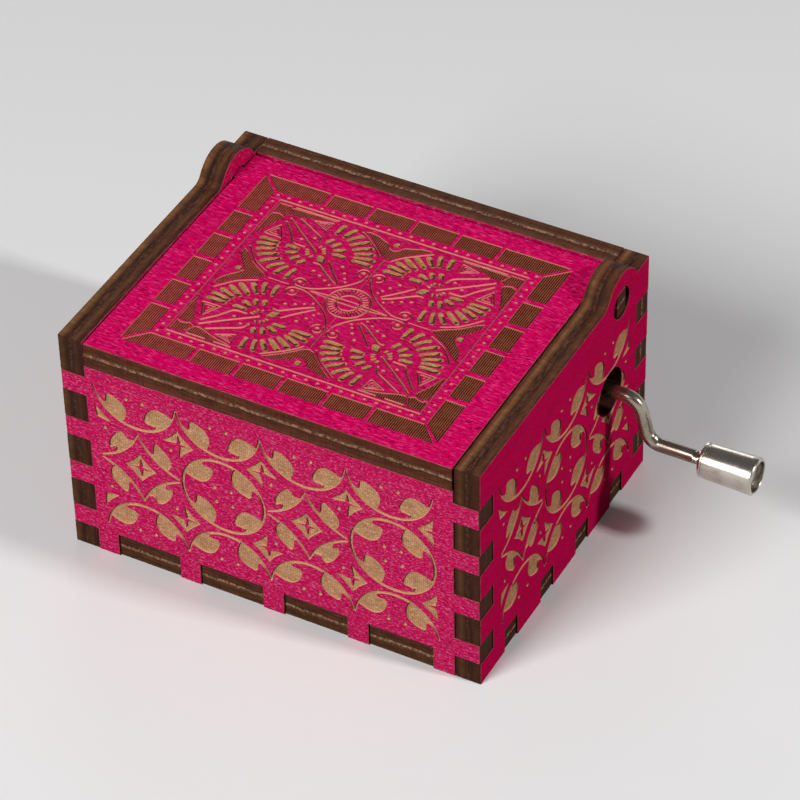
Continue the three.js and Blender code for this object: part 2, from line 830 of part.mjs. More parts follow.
// The steel bracket that holds the front end of the arbor, folded from one strip.
function arborBracket() {
  const foot = plateTop + fitGap;
  const cheek = roundHeaded(drumX, drumZ, bracketCheekRadius, bracketCheekRadius, foot);
  const skirt = rectangle(
    drumX - bracketHalfWidth,
    foot,
    drumX + bracketHalfWidth,
    drumZ - bracketCheekRadius - bracketSheet,
  );
  const sole = rectangle(
    drumX - bracketHalfWidth,
    bracketFront - bracketFootLength,
    drumX + bracketHalfWidth,
    bracketFront + bracketSheet / 2,
  );
  const joined = [
    extrudedY(skirt, bracketFront, bracketBack),
    extrudedZ(sole, foot, foot + bracketSheet),
  ];
  const screwHole = bracketScrewRadius + fitGap;
  const cut = [
    bore(turnedY, arborRadius + fitGap, bracketFront, bracketBack, drumX, 0, drumZ),
    ...boresZ(bracketScrewPlaces, screwHole, foot - cutOverrun, foot + bracketSheet + cutOverrun),
  ];
  const strip = shaped(extrudedY(cheek, bracketFront, bracketBack), { joined, cut });
  return named("arbor_bracket", strip, springSteel);
}

function bracketScrews() {
  return ["bracket_screw_left", "bracket_screw_right"].map((name, i) =>
    domedScrew(
      name,
      bracketScrewPlaces[i],
      plateTop + fitGap + bracketSheet,
      bracketScrewHeadRadius,
      bracketScrewHeadHeight,
      bracketScrewRadius,
      bracketScrewLength,
    ),
  );
}

// The countersunk screws that come up through the floor into the frame's bosses.
function mountingScrews() {
  const flat = mountHeadSink;
  const profile = [
    [0, flat],
    [mountHeadRadius, flat],
    [mountScrewRadius, flat + mountHeadHeight],
    [mountScrewRadius, mountHoleTop - mountTipGap],
    [0, mountHoleTop - mountTipGap],
  ];
  return ["mounting_screw_back", "mounting_screw_front"].map((name, i) => {
    const at = mountPlaces[i];
    return named(name, turnedZ(profile).translate(at.x, at.y, 0), springSteel);
  });
}

// The shaft that carries the worm, with a thrust collar and a socket for the crank.
function crankShaft() {
  const wormEnd = drumX + wormHalfLength;
  const start = leftPostLeft - fitGap - clipThickness - shaftTail / 2;
  const collarEnd = rightPostLeft - runGap;
  const socket = rodRadius + fitGap;
  const profile = [
    [0, start],
    [shaftRadius, start],
    [shaftRadius, wormEnd + fitGap],
    [collarRadius, wormEnd + fitGap],
    [collarRadius, collarEnd],
    [hubRadius, collarEnd],
    [hubRadius, hubEnd],
    [socket, hubEnd],
    [socket, hubEnd - socketDepth],
    [0, hubEnd - socketDepth],
  ];
  return named("crank_shaft", turnedX(profile).translate(0, crankY, crankZ), springSteel);
}

// The worm's thread as a swept ridge that rises from the core at one end and sinks at
// the other. Under the shaft a crest stands over the middle of the wheel.
function wormThread() {
  const sunk = wormRootRadius - wormDedendum / 4;
  const steps = wormTurns * wormStepsPerTurn;
  const rings = [];
  for (let i = 0; i <= steps; i++) {
    const share = i / steps;
    const rise = Math.min(1, share / threadRunOutShare, (1 - share) / threadRunOutShare);
    const tip = THREE.MathUtils.lerp(sunk + wormDedendum / 8, wormTipRadius, rise);
    const turns = (share - 0.5) * wormTurns;
    const angle = -Math.PI / 2 + 2 * Math.PI * turns;
    const half = (radius) => toothWidth / 2 + flankSlopeShare * (wormPitchRadius - radius);
    const corners = [
      [sunk, -half(sunk)],
      [sunk, half(sunk)],
      [tip, half(tip)],
      [tip, -half(tip)],
    ];
    rings.push(
      corners.map(
        ([radius, offset]) =>
          new THREE.Vector3(
            turns * axialPitch + offset,
            radius * Math.cos(angle),
            radius * Math.sin(angle),
          ),
      ),
    );
  }
  return sweptGeometry(rings);
}

function worm() {
  const core = turnedX(
    ringProfile(shaftRadius + fitGap / 2, wormRootRadius, -wormHalfLength, wormHalfLength),
  );
  const threaded = shaped(core, { joined: [wormThread()] });
  return named("worm", threaded.translate(drumX, crankY, crankZ), brass);
}

// The open clip that stops the shaft from sliding out to the right.
function shaftClip() {
  const mouth = Math.PI * clipMouthShare;
  const inner = shaftRadius + fitGap;
  const shape = new THREE.Shape();
  shape.absarc(crankY, crankZ, clipRadius, mouth, 2 * Math.PI - mouth);
  shape.absarc(crankY, crankZ, inner, 2 * Math.PI - mouth, mouth, true);
  const from = leftPostLeft - fitGap - clipThickness;
  return named("shaft_clip", extrudedX(shape, from, from + clipThickness), springSteel);
}

// One bend of the crank between two straight legs, as points on an arc.
function bendPoints(corner, before, after, radius) {
  const legIn = corner.clone().sub(before).normalize();
  const legOut = after.clone().sub(corner).normalize();
  const turn = legIn.angleTo(legOut);
  const setBack = radius * Math.tan(turn / 2);
  const start = corner.clone().addScaledVector(legIn, -setBack);
  const inward = legOut.clone().addScaledVector(legIn, -legOut.dot(legIn)).normalize();
  const centre = start.clone().addScaledVector(inward, radius);
  return Array.from({ length: bendSteps + 1 }, (_, i) => {
    const angle = (turn * i) / bendSteps;
    const point = centre.clone().addScaledVector(inward, -radius * Math.cos(angle));
    return point.addScaledVector(legIn, radius * Math.sin(angle));
  });
}

// The bent rod of the crank, crimped where it stops the knob, with a rounded tip.
function crankRod() {
  const start = new THREE.Vector3(rodStart, crankY, crankZ);
  const first = new THREE.Vector3(firstBend, crankY, crankZ);
  const second = new THREE.Vector3(secondBend, crankY, knobZ);
  const tip = new THREE.Vector3(knobEnd - rodTipDrop, crankY, knobZ);
  const along = (x) => new THREE.Vector3(x, crankY, knobZ);
  const crimpEnd = knobStart - runGap;
  const upperBend = bendPoints(first, start, second, armBendRadius);
  const lowerBend = bendPoints(second, first, tip, knobBendRadius);
  const stations = [start, ...upperBend, ...lowerBend];
  const sections = stations.map((point) => ({ point, wide: 1, high: 1 }));
  const crimp = { wide: crimpSpreadShare, high: crimpFlatShare };
  const crimpSlope = crimpLength / 4;
  const tipRound = rodRadius / 2;
  sections.push(
    { point: along(crimpEnd - crimpLength), wide: 1, high: 1 },
    { point: along(crimpEnd - crimpLength + crimpSlope), ...crimp },
    { point: along(crimpEnd - crimpSlope), ...crimp },
    { point: along(crimpEnd), wide: 1, high: 1 },
    { point: along(tip.x - tipRound), wide: 1, high: 1 },
    { point: tip, wide: 1 / 2, high: 1 / 2 },
  );
  const rings = sections.map((section, i) => {
    const before = sections[Math.max(i - 1, 0)].point;
    const after = sections[Math.min(i + 1, sections.length - 1)].point;
    const way = after.clone().sub(before).normalize();
    const up = new THREE.Vector3(-way.z, 0, way.x);
    return Array.from({ length: rodSides }, (_, side) => {
      const angle = (2 * Math.PI * side) / rodSides;
      const ring = section.point.clone();
      ring.y += section.wide * rodRadius * Math.cos(angle);
      return ring.addScaledVector(up, section.high * rodRadius * Math.sin(angle));
    });
  });
  return named("crank_rod", sweptGeometry(rings), polishedNickel);
}

// The turned sleeve that spins on the rod, rimmed at one end, flared and recessed at the other.
function knob() {
  const hole = rodRadius + knobBoreGap;
  const grooveStart = knobChamfer + knobRimWidth;
  const grooveEnd = grooveStart + knobGrooveWidth;
  const profile = [
    [knobRadius - knobChamfer, 0],
    [knobRadius, knobChamfer],
    [knobRadius, grooveStart],
    [knobRadius - knobGrooveDepth, grooveStart + knobGrooveDepth / 2],
    [knobRadius - knobGrooveDepth, grooveEnd - knobGrooveDepth / 2],
    [knobRadius, grooveEnd],
    [knobEndRadius, knobLength - knobChamfer],
    [knobEndRadius - knobChamfer, knobLength],
    [knobRecessRadius, knobLength],
    [knobRecessRadius, knobLength - knobRecessDepth],
    [hole, knobLength - knobRecessDepth],
    [hole, 0],
    [knobRadius - knobChamfer, 0],
  ];
  const sleeve = turnedX(profile, fineSegments).translate(knobStart, crankY, knobZ);
  return named("knob", sleeve, polishedNickel);
}

// The washer under the rod's rounded tip, on the floor of the knob's recess.
function knobWasher() {
  const seat = knobLength - knobRecessDepth + fitGap;
  const outer = knobRecessRadius - 2 * fitGap;
  const ring = ringProfile(rodRadius + fitGap / 2, outer, seat, seat + washerThickness);
  const washer = turnedX(ring).translate(knobStart, crankY, knobZ);
  return named("knob_washer", washer, springSteel);
}

function grouped(...meshes) {
  return new THREE.Group().add(...meshes);
}

const crankHole = circleHole(crankY, crankZ - crankHoleDrop, crankHoleRadius);
const caseParts = grouped(
  endPanel("front_panel", -halfDepth, frontTop),
  endPanel("back_panel", innerHalfDepth, sideHeight),
  sidePanel("left_panel", -halfWidth, []),
  sidePanel("right_panel", innerHalfWidth, [crankHole]),
  floorPanel(),
);
const movement = grouped(
  movementFrame(),
  comb(),
  ...combScrews(),
  arborBracket(),
  ...bracketScrews(),
  ...mountingScrews(),
);
const cylinder = grouped(
  drum(),
  drumCap("drum_cap_front", drumFront, -1, capHubLength),
  drumCap("drum_cap_back", drumBack, 1, 0),
  drumArbor(),
  wormWheel(),
);
const crank = grouped(crankShaft(), worm(), shaftClip(), crankRod(), knobWasher());

export default grouped(caseParts, lidPanel(), movement, cylinder, crank, knob());
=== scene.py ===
"""Looks of a hand cranked music box: an engraved, painted plywood case around its movement.

Sizes are millimetres until a mesh is made, and then metres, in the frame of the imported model.
"""

import logging
import math
from collections.abc import Callable, Iterable, Sequence
from dataclasses import dataclass, field, replace
from enum import Enum
from typing import Any, ClassVar

import bmesh
import bpy
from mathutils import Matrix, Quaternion, Vector
from mathutils.geometry import delaunay_2d_cdt


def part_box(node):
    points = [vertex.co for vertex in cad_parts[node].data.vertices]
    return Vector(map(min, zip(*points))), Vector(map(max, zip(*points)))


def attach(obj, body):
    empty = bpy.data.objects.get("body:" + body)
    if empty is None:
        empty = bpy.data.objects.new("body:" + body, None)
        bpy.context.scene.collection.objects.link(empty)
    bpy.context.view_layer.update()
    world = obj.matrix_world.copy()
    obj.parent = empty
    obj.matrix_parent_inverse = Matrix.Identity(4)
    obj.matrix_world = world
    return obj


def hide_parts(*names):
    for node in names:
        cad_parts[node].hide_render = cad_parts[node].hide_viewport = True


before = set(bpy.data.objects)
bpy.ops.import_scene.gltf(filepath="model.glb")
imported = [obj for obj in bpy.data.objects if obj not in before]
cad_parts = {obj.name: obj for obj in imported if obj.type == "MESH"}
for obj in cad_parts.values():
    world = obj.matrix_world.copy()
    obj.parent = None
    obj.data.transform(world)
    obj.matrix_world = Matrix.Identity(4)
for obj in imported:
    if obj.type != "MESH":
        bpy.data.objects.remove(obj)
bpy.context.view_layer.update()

LOG = logging.getLogger("music_box")
MM = 0.001
WELD = 2e-6
INSIDE_ONLY = 1
FULL_TURN = 2 * math.pi
Point = tuple[float, float]
Triple = tuple[float, float, float]
Tone = tuple[int, int, int]
Stops = tuple[tuple[float, Tone], ...]
Columns = tuple[tuple[float, bool], ...]
Socket = bpy.types.NodeSocket


def linear(tone: Tone) -> tuple[float, float, float, float]:
    """Turn a display colour into the linear colour that a shader takes, by the sRGB curve.

    Args:
        tone: Red, green and blue from 0 to 255.

    Returns:
        Linear red, green, blue and an alpha of 1.
    """
    shares = (channel / 255 for channel in tone)
    return (*(s / 12.92 if s <= 0.04045 else ((s + 0.055) / 1.055) ** 2.4 for s in shares), 1.0)


@dataclass(frozen=True)
class Speckle:
    """A noise, and the span of its values that is stretched to run from 0 to 1."""

    low: float
    high: float
    detail: float = 2.0
    rough: float = 0.5
    scale: float = 1.0
    stretch: Triple | None = None


class Canvas:
    """Places nodes in one shader tree and links them."""

    RGBA_MIX: ClassVar[tuple[int, int, int]] = (0, 6, 7)

    def __init__(self, tree: bpy.types.NodeTree) -> None:
        """Keep the tree that receives the nodes."""
        self.tree = tree

    def feed(self, socket: Socket, value: Any) -> None:
        """Link a socket to another, or set its value.

        Args:
            socket: The input that is fed.
            value: An output socket, or a plain value.
        """
        if isinstance(value, Socket):
            self.tree.links.new(value, socket)
        else:
            socket.default_value = value

    def add(self, kind: str, sockets: dict[Any, Any] | None = None, **settings: Any) -> bpy.types.Node:
        """Place one node.

        Args:
            kind: The node type without its leading ShaderNode.
            sockets: Values or output sockets for its inputs, by name or index.
            settings: Plain attributes of the node.

        Returns:
            The new node.
        """
        node = self.tree.nodes.new("ShaderNode" + kind)
        for name, value in settings.items():
            setattr(node, name, value)
        for key, value in (sockets or {}).items():
            self.feed(node.inputs[key], value)
        return node

    def math(self, operation: str, *values: Any) -> Socket:
        """Return the result of a math node on the given values."""
        return self.add("Math", dict(enumerate(values)), operation=operation).outputs[0]

    def vector(self, operation: str, *values: Any) -> Socket:
        """Return the vector result of a vector math node on the given values."""
        return self.add("VectorMath", dict(enumerate(values)), operation=operation).outputs[0]

    def split(self, vector: Any) -> Any:
        """Return the three parts of a vector."""
        return self.add("SeparateXYZ", {0: vector}).outputs

    def join(self, parts: dict[int, Any]) -> Socket:
        """Return a vector of the given parts, with 0 for the others."""
        return self.add("CombineXYZ", parts).outputs[0]

    def mix(self, share: Any, first: Any, second: Any, blend: str = "MIX") -> Socket:
        """Blend two colours.

        Args:
            share: Share of the second colour.
            first: First colour.
            second: Second colour.
            blend: Way of blending.

        Returns:
            The blended colour.
        """
        node = self.add("Mix", data_type="RGBA", blend_type=blend)
        for index, value in zip(self.RGBA_MIX, (share, first, second)):
            self.feed(node.inputs[index], value)
        return node.outputs[2]

    def tinted(self, tone: Any, *layers: tuple[Any, Any, Tone]) -> Socket:
        """Lay colours over a colour, one after the other.

        Args:
            tone: The colour below them.
            layers: For each colour its mask, the share that it has there, and the display colour.

        Returns:
            The tinted colour.
        """
        for mask, share, over in layers:
            tone = self.mix(self.math("MULTIPLY", mask, share), tone, linear(over))
        return tone

    def inverse(self, mask: Any) -> Socket:
        """Return 1 less a mask."""
        return self.math("SUBTRACT", 1.0, mask)

    def weighed(self, *masks: tuple[Any, float]) -> Socket:
        """Add masks.

        Args:
            masks: Each mask with its share.

        Returns:
            The sum.
        """
        total = 0.0
        for mask, share in reversed(masks):
            total = self.math("MULTIPLY_ADD", mask, share, total)
        return total

    def ramp(self, value: Any, low: float, high: float) -> Socket:
        """Stretch a value between two bounds to run from 0 to 1, clamped and smoothed.

        Args:
            value: The value.
            low: Where the result is 0.
            high: Where the result is 1.

        Returns:
            The stretched value.
        """
        bounds = dict(enumerate((value, low, high, 0.0, 1.0)))
        return self.add("MapRange", bounds, interpolation_type="SMOOTHSTEP").outputs[0]

    def gradient(self, value: Any, stops: Stops) -> Socket:
        """Colour a value by stops.

        Args:
            value: The value, from 0 to 1.
            stops: Values with their display colours; the first is at 0 and the last at 1.

        Returns:
            The colour.
        """
        node = self.add("ValToRGB", {0: value})
        elements = node.color_ramp.elements
        elements[0].color, elements[1].color = linear(stops[0][1]), linear(stops[-1][1])
        for place, tone in stops[1:-1]:
            elements.new(place).color = linear(tone)
        return node.outputs[0]

    def noise(self, vector: Any, scale: Any, detail: float = 2.0, rough: float = 0.5) -> Socket:
        """Read a noise value from 0 to 1.

        Args:
            vector: Where the noise is read.
            scale: Size of the noise, as waves per unit.
            detail: Number of finer layers.
            rough: Share of the finer layers.

        Returns:
            The noise.
        """
        sockets = {"Vector": vector, "Scale": scale, "Detail": detail, "Roughness": rough}
        return self.add("TexNoise", sockets).outputs[0]

    def speckle(self, vector: Any, speckle: Speckle, scale: Any = None) -> Socket:
        """Read a stretched noise from 0 to 1.

        Args:
            vector: Where the noise is read.
            speckle: The noise.
            scale: Waves per unit, where a socket gives them.

        Returns:
            The stretched noise.
        """
        if speckle.stretch:
            vector = self.vector("MULTIPLY", vector, speckle.stretch)
        noise = self.noise(vector, speckle.scale if scale is None else scale, speckle.detail, speckle.rough)
        return self.ramp(noise, speckle.low, speckle.high)

    def seen(self) -> Socket:
        """Mask the rays that look at a backdrop and don't light the object with it.

        Returns:
            1 for camera, glossy and transmission rays.
        """
        path = self.add("LightPath").outputs
        seen = self.math("MAXIMUM", path["Is Camera Ray"], path["Is Glossy Ray"])
        return self.math("MAXIMUM", seen, path["Is Transmission Ray"])


class Effect:
    """A shader node group that several finishes use, made once."""

    name: ClassVar[str]
    inputs: ClassVar[dict[str, str]]
    outputs: ClassVar[tuple[str, ...]]

    def place(self, canvas: Canvas, **values: Any) -> dict[str, Socket]:
        """Place the group in a material.

        Args:
            canvas: The material's canvas.
            values: Values or sockets for the group's inputs.

        Returns:
            The group's outputs by name.
        """
        node = canvas.add("Group")
        node.node_tree = bpy.data.node_groups.get(self.name) or self.make()
        for key, value in values.items():
            canvas.feed(node.inputs[key.replace("_", " ").capitalize()], value)
        return {output: node.outputs[output] for output in self.outputs}

    def make(self) -> bpy.types.NodeTree:
        """Make the group with its sockets.

        Returns:
            The new group.
        """
        tree = bpy.data.node_groups.new(self.name, "ShaderNodeTree")
        for key, kind in self.inputs.items():
            tree.interface.new_socket(key, in_out="INPUT", socket_type="NodeSocket" + kind)
        for key in self.outputs:
            tree.interface.new_socket(key, in_out="OUTPUT", socket_type="NodeSocketFloat")
        canvas = Canvas(tree)
        source = tree.nodes.new("NodeGroupInput").outputs
        target = tree.nodes.new("NodeGroupOutput").inputs
        for key, value in self.draw(canvas, source).items():
            canvas.feed(target[key], value)
        return tree

    def draw(self, canvas: Canvas, source: Any) -> dict[str, Socket]:
        """Fill the group and return its outputs by name."""
        raise NotImplementedError


class WoodGrain(Effect):
    """Fibres, pores and pale flecks of veneer that run along the vector's first axis."""

    name = "wood grain"
    inputs = {"Vector": "Vector", "Length": "Float", "Width": "Float"}
    outputs = ("Fibre", "Band", "Pore", "Fleck")

    SWAY = (0.12, 0.3, 0.3)
    APART = (41.0, 17.0, 29.0)
    FIBRE = Speckle(0.32, 0.68, 3.0, 0.62)
    BAND = Speckle(0.32, 0.68, stretch=(0.2, 0.09, 0.09))
    PORE = Speckle(0.56, 0.7, 1.0, stretch=(1.3, 1.4, 1.4))
    FLECK = Speckle(0.53, 0.68, 2.0, 0.6)

    def draw(self, canvas: Canvas, source: Any) -> dict[str, Socket]:
        """Stretch noises along the fibres.

        Args:
            canvas: The group's canvas.
            source: The group's inputs.

        Returns:
            Sockets for the outputs by name.
        """
        along = canvas.math("DIVIDE", 1.0, source["Length"])
        across = canvas.math("DIVIDE", 1.0, source["Width"])
        sway = canvas.noise(canvas.vector("MULTIPLY", source["Vector"], self.SWAY), 1.0, 1.0)
        swayed = canvas.vector("ADD", source["Vector"], canvas.join({1: sway, 2: sway}))
        stretched = canvas.vector("MULTIPLY", swayed, canvas.join({0: along, 1: across, 2: across}))
        return {
            "Fibre": canvas.speckle(stretched, self.FIBRE),
            "Band": canvas.speckle(stretched, self.BAND),
            "Pore": canvas.speckle(stretched, self.PORE),
            "Fleck": canvas.speckle(canvas.vector("ADD", stretched, self.APART), self.FLECK),
        }


class PlyLayers(Effect):
    """The plies across a cut sheet, with a seam in its middle and the marks of the laser."""

    name = "ply layers"
    inputs = {"Vector": "Vector", "Depth": "Float"}
    outputs = ("Seam", "Glue", "Streak", "Scorch", "Stria")

    FLAT = (1.0, 1.0, 0.0)
    SEAM_AT = 0.5
    SEAM_HALF = 0.06
    SWING = 0.12
    SWING_SCALE = 0.35
    SEAM_EDGE = (-0.02, 0.03)
    BROKEN = Speckle(0.42, 0.62, 3.0, 0.7, 2.2)
    GLUE_AT = SEAM_HALF + 0.035
    GLUE_EDGE = (0.008, 0.032)
    STREAK_RUN = (0.4, 0.4, 0.0)
    STREAK_COUNT = 15.0
    STREAK = Speckle(0.4, 0.7, 3.0, 0.6)
    SCORCH = Speckle(0.35, 0.68, 3.0, 0.6, 0.6)
    STRIA = Speckle(0.35, 0.65, stretch=(4.5, 4.5, 0.3))

    def draw(self, canvas: Canvas, source: Any) -> dict[str, Socket]:
        """Mask the broken seam and the glue beside it, and add streaks and scorch marks.

        Args:
            canvas: The group's canvas.
            source: The group's inputs.

        Returns:
            Sockets for the outputs by name.
        """
        flat = canvas.vector("MULTIPLY", source["Vector"], self.FLAT)
        wander = canvas.math("SUBTRACT", canvas.noise(flat, self.SWING_SCALE, 1.0), 0.5)
        depth = canvas.math("ADD", source["Depth"], canvas.math("MULTIPLY", wander, self.SWING))
        offset = canvas.math("SUBTRACT", depth, self.SEAM_AT)
        beyond = canvas.math("SUBTRACT", canvas.math("ABSOLUTE", offset), self.SEAM_HALF)
        line = canvas.inverse(canvas.ramp(beyond, *self.SEAM_EDGE))
        side = canvas.math("ABSOLUTE", canvas.math("SUBTRACT", offset, self.GLUE_AT))
        layered = canvas.join({2: canvas.math("MULTIPLY", depth, self.STREAK_COUNT)})
        along = canvas.vector("ADD", canvas.vector("MULTIPLY", flat, self.STREAK_RUN), layered)
        return {
            "Seam": canvas.math("MULTIPLY", line, canvas.speckle(source["Vector"], self.BROKEN)),
            "Glue": canvas.inverse(canvas.ramp(side, *self.GLUE_EDGE)),
            "Streak": canvas.speckle(along, self.STREAK),
            "Scorch": canvas.speckle(source["Vector"], self.SCORCH),
            "Stria": canvas.speckle(source["Vector"], self.STRIA),
        }


class Blotches(Effect):
    """Soft patches and small specks, for handling marks, dust and pits."""

    name = "blotches and specks"
    inputs = {"Vector": "Vector", "Size": "Float", "Speck": "Float"}
    outputs = ("Patch", "Specks")

    PATCH = Speckle(0.35, 0.68, 3.0)
    SPECKS = Speckle(0.56, 0.7, 1.0)

    def draw(self, canvas: Canvas, source: Any) -> dict[str, Socket]:
        """Read two sizes of noise.

        Args:
            canvas: The group's canvas.
            source: The group's inputs.

        Returns:
            Sockets for the outputs by name.
        """
        wide, fine = (canvas.math("DIVIDE", 1.0, source[key]) for key in ("Size", "Speck"))
        return {
            "Patch": canvas.speckle(source["Vector"], self.PATCH, wide),
            "Specks": canvas.speckle(source["Vector"], self.SPECKS, fine),
        }


class RasterLines(Effect):
    """The two sets of close parallel lines that a laser leaves where it clears an area."""

    name = "raster lines"
    inputs = {"Vector": "Vector", "Pitch": "Float"}
    outputs = ("Line", "Cross")

    WOBBLE = 3.0
    WOBBLE_SCALE = 1.6

    def draw(self, canvas: Canvas, source: Any) -> dict[str, Socket]:
        """Wave along the vector's first two axes, broken by noise.

        Args:
            canvas: The group's canvas.
            source: The group's inputs.

        Returns:
            Sockets for the outputs by name.
        """
        parts = canvas.split(source["Vector"])
        broken = canvas.math("MULTIPLY", canvas.noise(source["Vector"], self.WOBBLE_SCALE), self.WOBBLE)
        waves = {}
        for output, part in (("Line", parts[1]), ("Cross", parts[0])):
            turns = canvas.math("MULTIPLY", canvas.math("DIVIDE", part, source["Pitch"]), FULL_TURN)
            wave = canvas.math("SINE", canvas.math("ADD", turns, broken))
            waves[output] = canvas.math("MULTIPLY_ADD", wave, 0.5, 0.5)
        return waves


class ToolMarks(Effect):
    """Fine marks round or along a metal part, with smears over them."""

    name = "tool marks"
    inputs = {"Vector": "Vector", "Stretch": "Vector"}
    outputs = ("Mark", "Smear")

    MARK = Speckle(0.3, 0.7)
    SMEAR = Speckle(0.35, 0.7, 3.0, scale=1 / 3)

    def draw(self, canvas: Canvas, source: Any) -> dict[str, Socket]:
        """Stretch a fine noise and add a soft one.

        Args:
            canvas: The group's canvas.
            source: The group's inputs.

        Returns:
            Sockets for the outputs by name.
        """
        stretched = canvas.vector("MULTIPLY", source["Vector"], source["Stretch"])
        return {
            "Mark": canvas.speckle(stretched, self.MARK),
            "Smear": canvas.speckle(source["Vector"], self.SMEAR),
        }


class Axis(Enum):
    """An axis of the frame."""

    X = 0
    Y = 1
    Z = 2


@dataclass(frozen=True)
class Skin:
    """What a finish feeds to its shader, with the strength and the millimetres of its relief."""

    tone: Socket
    rough: Socket
    relief: Socket
    strength: float
    height: float
    specular: float = 0.5
    metallic: float = 0.0


@dataclass(frozen=True)
class Finish:
    """One finish, made as a material the first time that a piece asks for it.

    The axes are those of the frame in the order in which the finish reads them: on a sheet
    the way of the grain, the way across it and the way through the sheet.
    """

    name: str
    axes: tuple[Axis, Axis, Axis] = (Axis.X, Axis.Y, Axis.Z)

    def material(self) -> bpy.types.Material:
        """Make the material, or take the one that is there.

        Returns:
            The material.
        """
        made = bpy.data.materials.get(self.name)
        if made is None:
            made = bpy.data.materials.new(self.name)
            made.use_nodes = True
            canvas = Canvas(made.node_tree)
            skin = self.dress(canvas, self.position(canvas))
            bump = {"Height": skin.relief, "Strength": skin.strength, "Distance": skin.height * MM}
            fed = {
                "Base Color": skin.tone,
                "Roughness": skin.rough,
                "Metallic": skin.metallic,
                "Specular IOR Level": skin.specular,
                "Normal": canvas.add("Bump", bump).outputs[0],
            }
            for key, value in fed.items():
                canvas.feed(made.node_tree.nodes["Principled BSDF"].inputs[key], value)
        return made

    def dress(self, canvas: Canvas, place: Socket) -> Skin:
        """Draw the finish at a place on the piece."""
        raise NotImplementedError

    def position(self, canvas: Canvas) -> Socket:
        """Read the place on the piece in millimetres, in the order of the finish's axes.

        Args:
            canvas: The material's canvas.

        Returns:
            The place as a vector.
        """
        place = canvas.add("TexCoord").outputs["Object"]
        parts = canvas.split(canvas.vector("MULTIPLY", place, 3 * (1 / MM,)))
        return canvas.join({i: parts[axis.value] for i, axis in enumerate(self.axes)})


@dataclass(frozen=True)
class PaintedPly(Finish):
    """Birch ply under a thin pink stain that lets the fibres show."""

    paint: Tone = (208, 0, 88)
    deep: Tone = (170, 0, 66)
    bright: Tone = (234, 0, 104)
    pore: Tone = (126, 0, 44)
    fleck: Tone = (240, 118, 160)
    smoke: Tone = (96, 34, 40)
    fleck_share: float = 0.6
    streaks: float = 0.7
    length: float = 1.5
    width: float = 0.14
    dash: float = 0.7
    dash_width: float = 0.24
    haze: tuple[float, float, float, float] | None = None

    HAZE_EDGE: ClassVar[Point] = (0.96, 1.03)

    def dress(self, canvas: Canvas, place: Socket) -> Skin:
        """Lay darker bands and pores and pale flecks over the stain.

        Args:
            canvas: The material's canvas.
            place: The place on the piece.

        Returns:
            The finish for the shader.
        """
        grain = WoodGrain().place(canvas, vector=place, length=self.length, width=self.width)
        dashes = WoodGrain().place(canvas, vector=place, length=self.dash, width=self.dash_width)
        marks = Blotches().place(canvas, vector=place, size=7.0, speck=0.5)
        tone = canvas.tinted(
            linear(self.paint),
            (grain["Band"], 0.25, self.deep),
            (marks["Patch"], 0.15, self.bright),
            (grain["Fibre"], 0.45 * self.streaks, self.bright),
            (grain["Pore"], 0.5 * self.streaks, self.pore),
            (dashes["Pore"], self.streaks, self.pore),
            (grain["Fleck"], 0.3 * self.fleck_share, self.fleck),
            (dashes["Fleck"], self.fleck_share, self.fleck),
        )
        if self.haze:
            share = canvas.math("MULTIPLY_ADD", dashes["Fibre"], 0.26, 0.03)
            tone = canvas.tinted(tone, (self.hazed(canvas, place), share, self.smoke))
        rough = canvas.math("MULTIPLY_ADD", grain["Fibre"], 0.15, 0.65)
        relief = canvas.math("MULTIPLY_ADD", grain["Pore"], -0.8, grain["Fibre"])
        return Skin(tone, rough, relief, strength=0.5, height=0.04, specular=0.01)

    def hazed(self, canvas: Canvas, place: Socket) -> Socket:
        """Mask the rectangle that the laser's smoke has dulled.

        Args:
            canvas: The material's canvas.
            place: The place on the piece.

        Returns:
            The mask, 1 inside the rectangle.
        """
        x, y, half_x, half_y = self.haze
        offset = canvas.vector("ABSOLUTE", canvas.vector("SUBTRACT", place, (x, y, 0.0)))
        parts = canvas.split(canvas.vector("DIVIDE", offset, (half_x, half_y, 1.0)))
        return canvas.inverse(canvas.ramp(canvas.math("MAXIMUM", parts[0], parts[1]), *self.HAZE_EDGE))


@dataclass(frozen=True)
class EngravedPly(Finish):
    """Bare wood at the bottom of an engraved shape, browner where it is cut deeper."""

    wood: Tone = (226, 174, 128)
    toast: Tone = (150, 96, 64)
    stain: Tone = (176, 96, 72)
    pale: Tone = (242, 206, 154)
    fleck: Tone = (232, 194, 146)
    pitch: float = 0.3
    lines: float = 0.75

    CRUMBS: ClassVar[Speckle] = Speckle(0.53, 0.66, 2.0, 0.6, 3.4)

    def dress(self, canvas: Canvas, place: Socket) -> Skin:
        """Lay raster lines, toasted patches, crumbs and traces of stain over the wood.

        Args:
            canvas: The material's canvas.
            place: The place on the piece.

        Returns:
            The finish for the shader.
        """
        grain = WoodGrain().place(canvas, vector=place, length=1.2, width=0.16)
        raster = RasterLines().place(canvas, vector=place, pitch=self.pitch)
        marks = Blotches().place(canvas, vector=place, size=2.0, speck=0.32)
        weave = canvas.math("MULTIPLY", canvas.math("ADD", raster["Line"], raster["Cross"]), 0.5)
        toasted = canvas.weighed((marks["Patch"], 0.25), (weave, self.lines))
        tone = canvas.tinted(
            canvas.mix(toasted, linear(self.wood), linear(self.toast)),
            (grain["Fleck"], 0.5, self.fleck),
            (grain["Pore"], 0.4, self.toast),
            (marks["Specks"], 0.4, self.stain),
            (canvas.speckle(place, self.CRUMBS), 0.55, self.pale),
        )
        rough = canvas.math("MULTIPLY_ADD", grain["Fibre"], -0.12, 0.85)
        relief = canvas.math("MULTIPLY_ADD", weave, -0.6, grain["Fibre"])
        return Skin(tone, rough, relief, strength=0.5, height=0.08, specular=0.12)


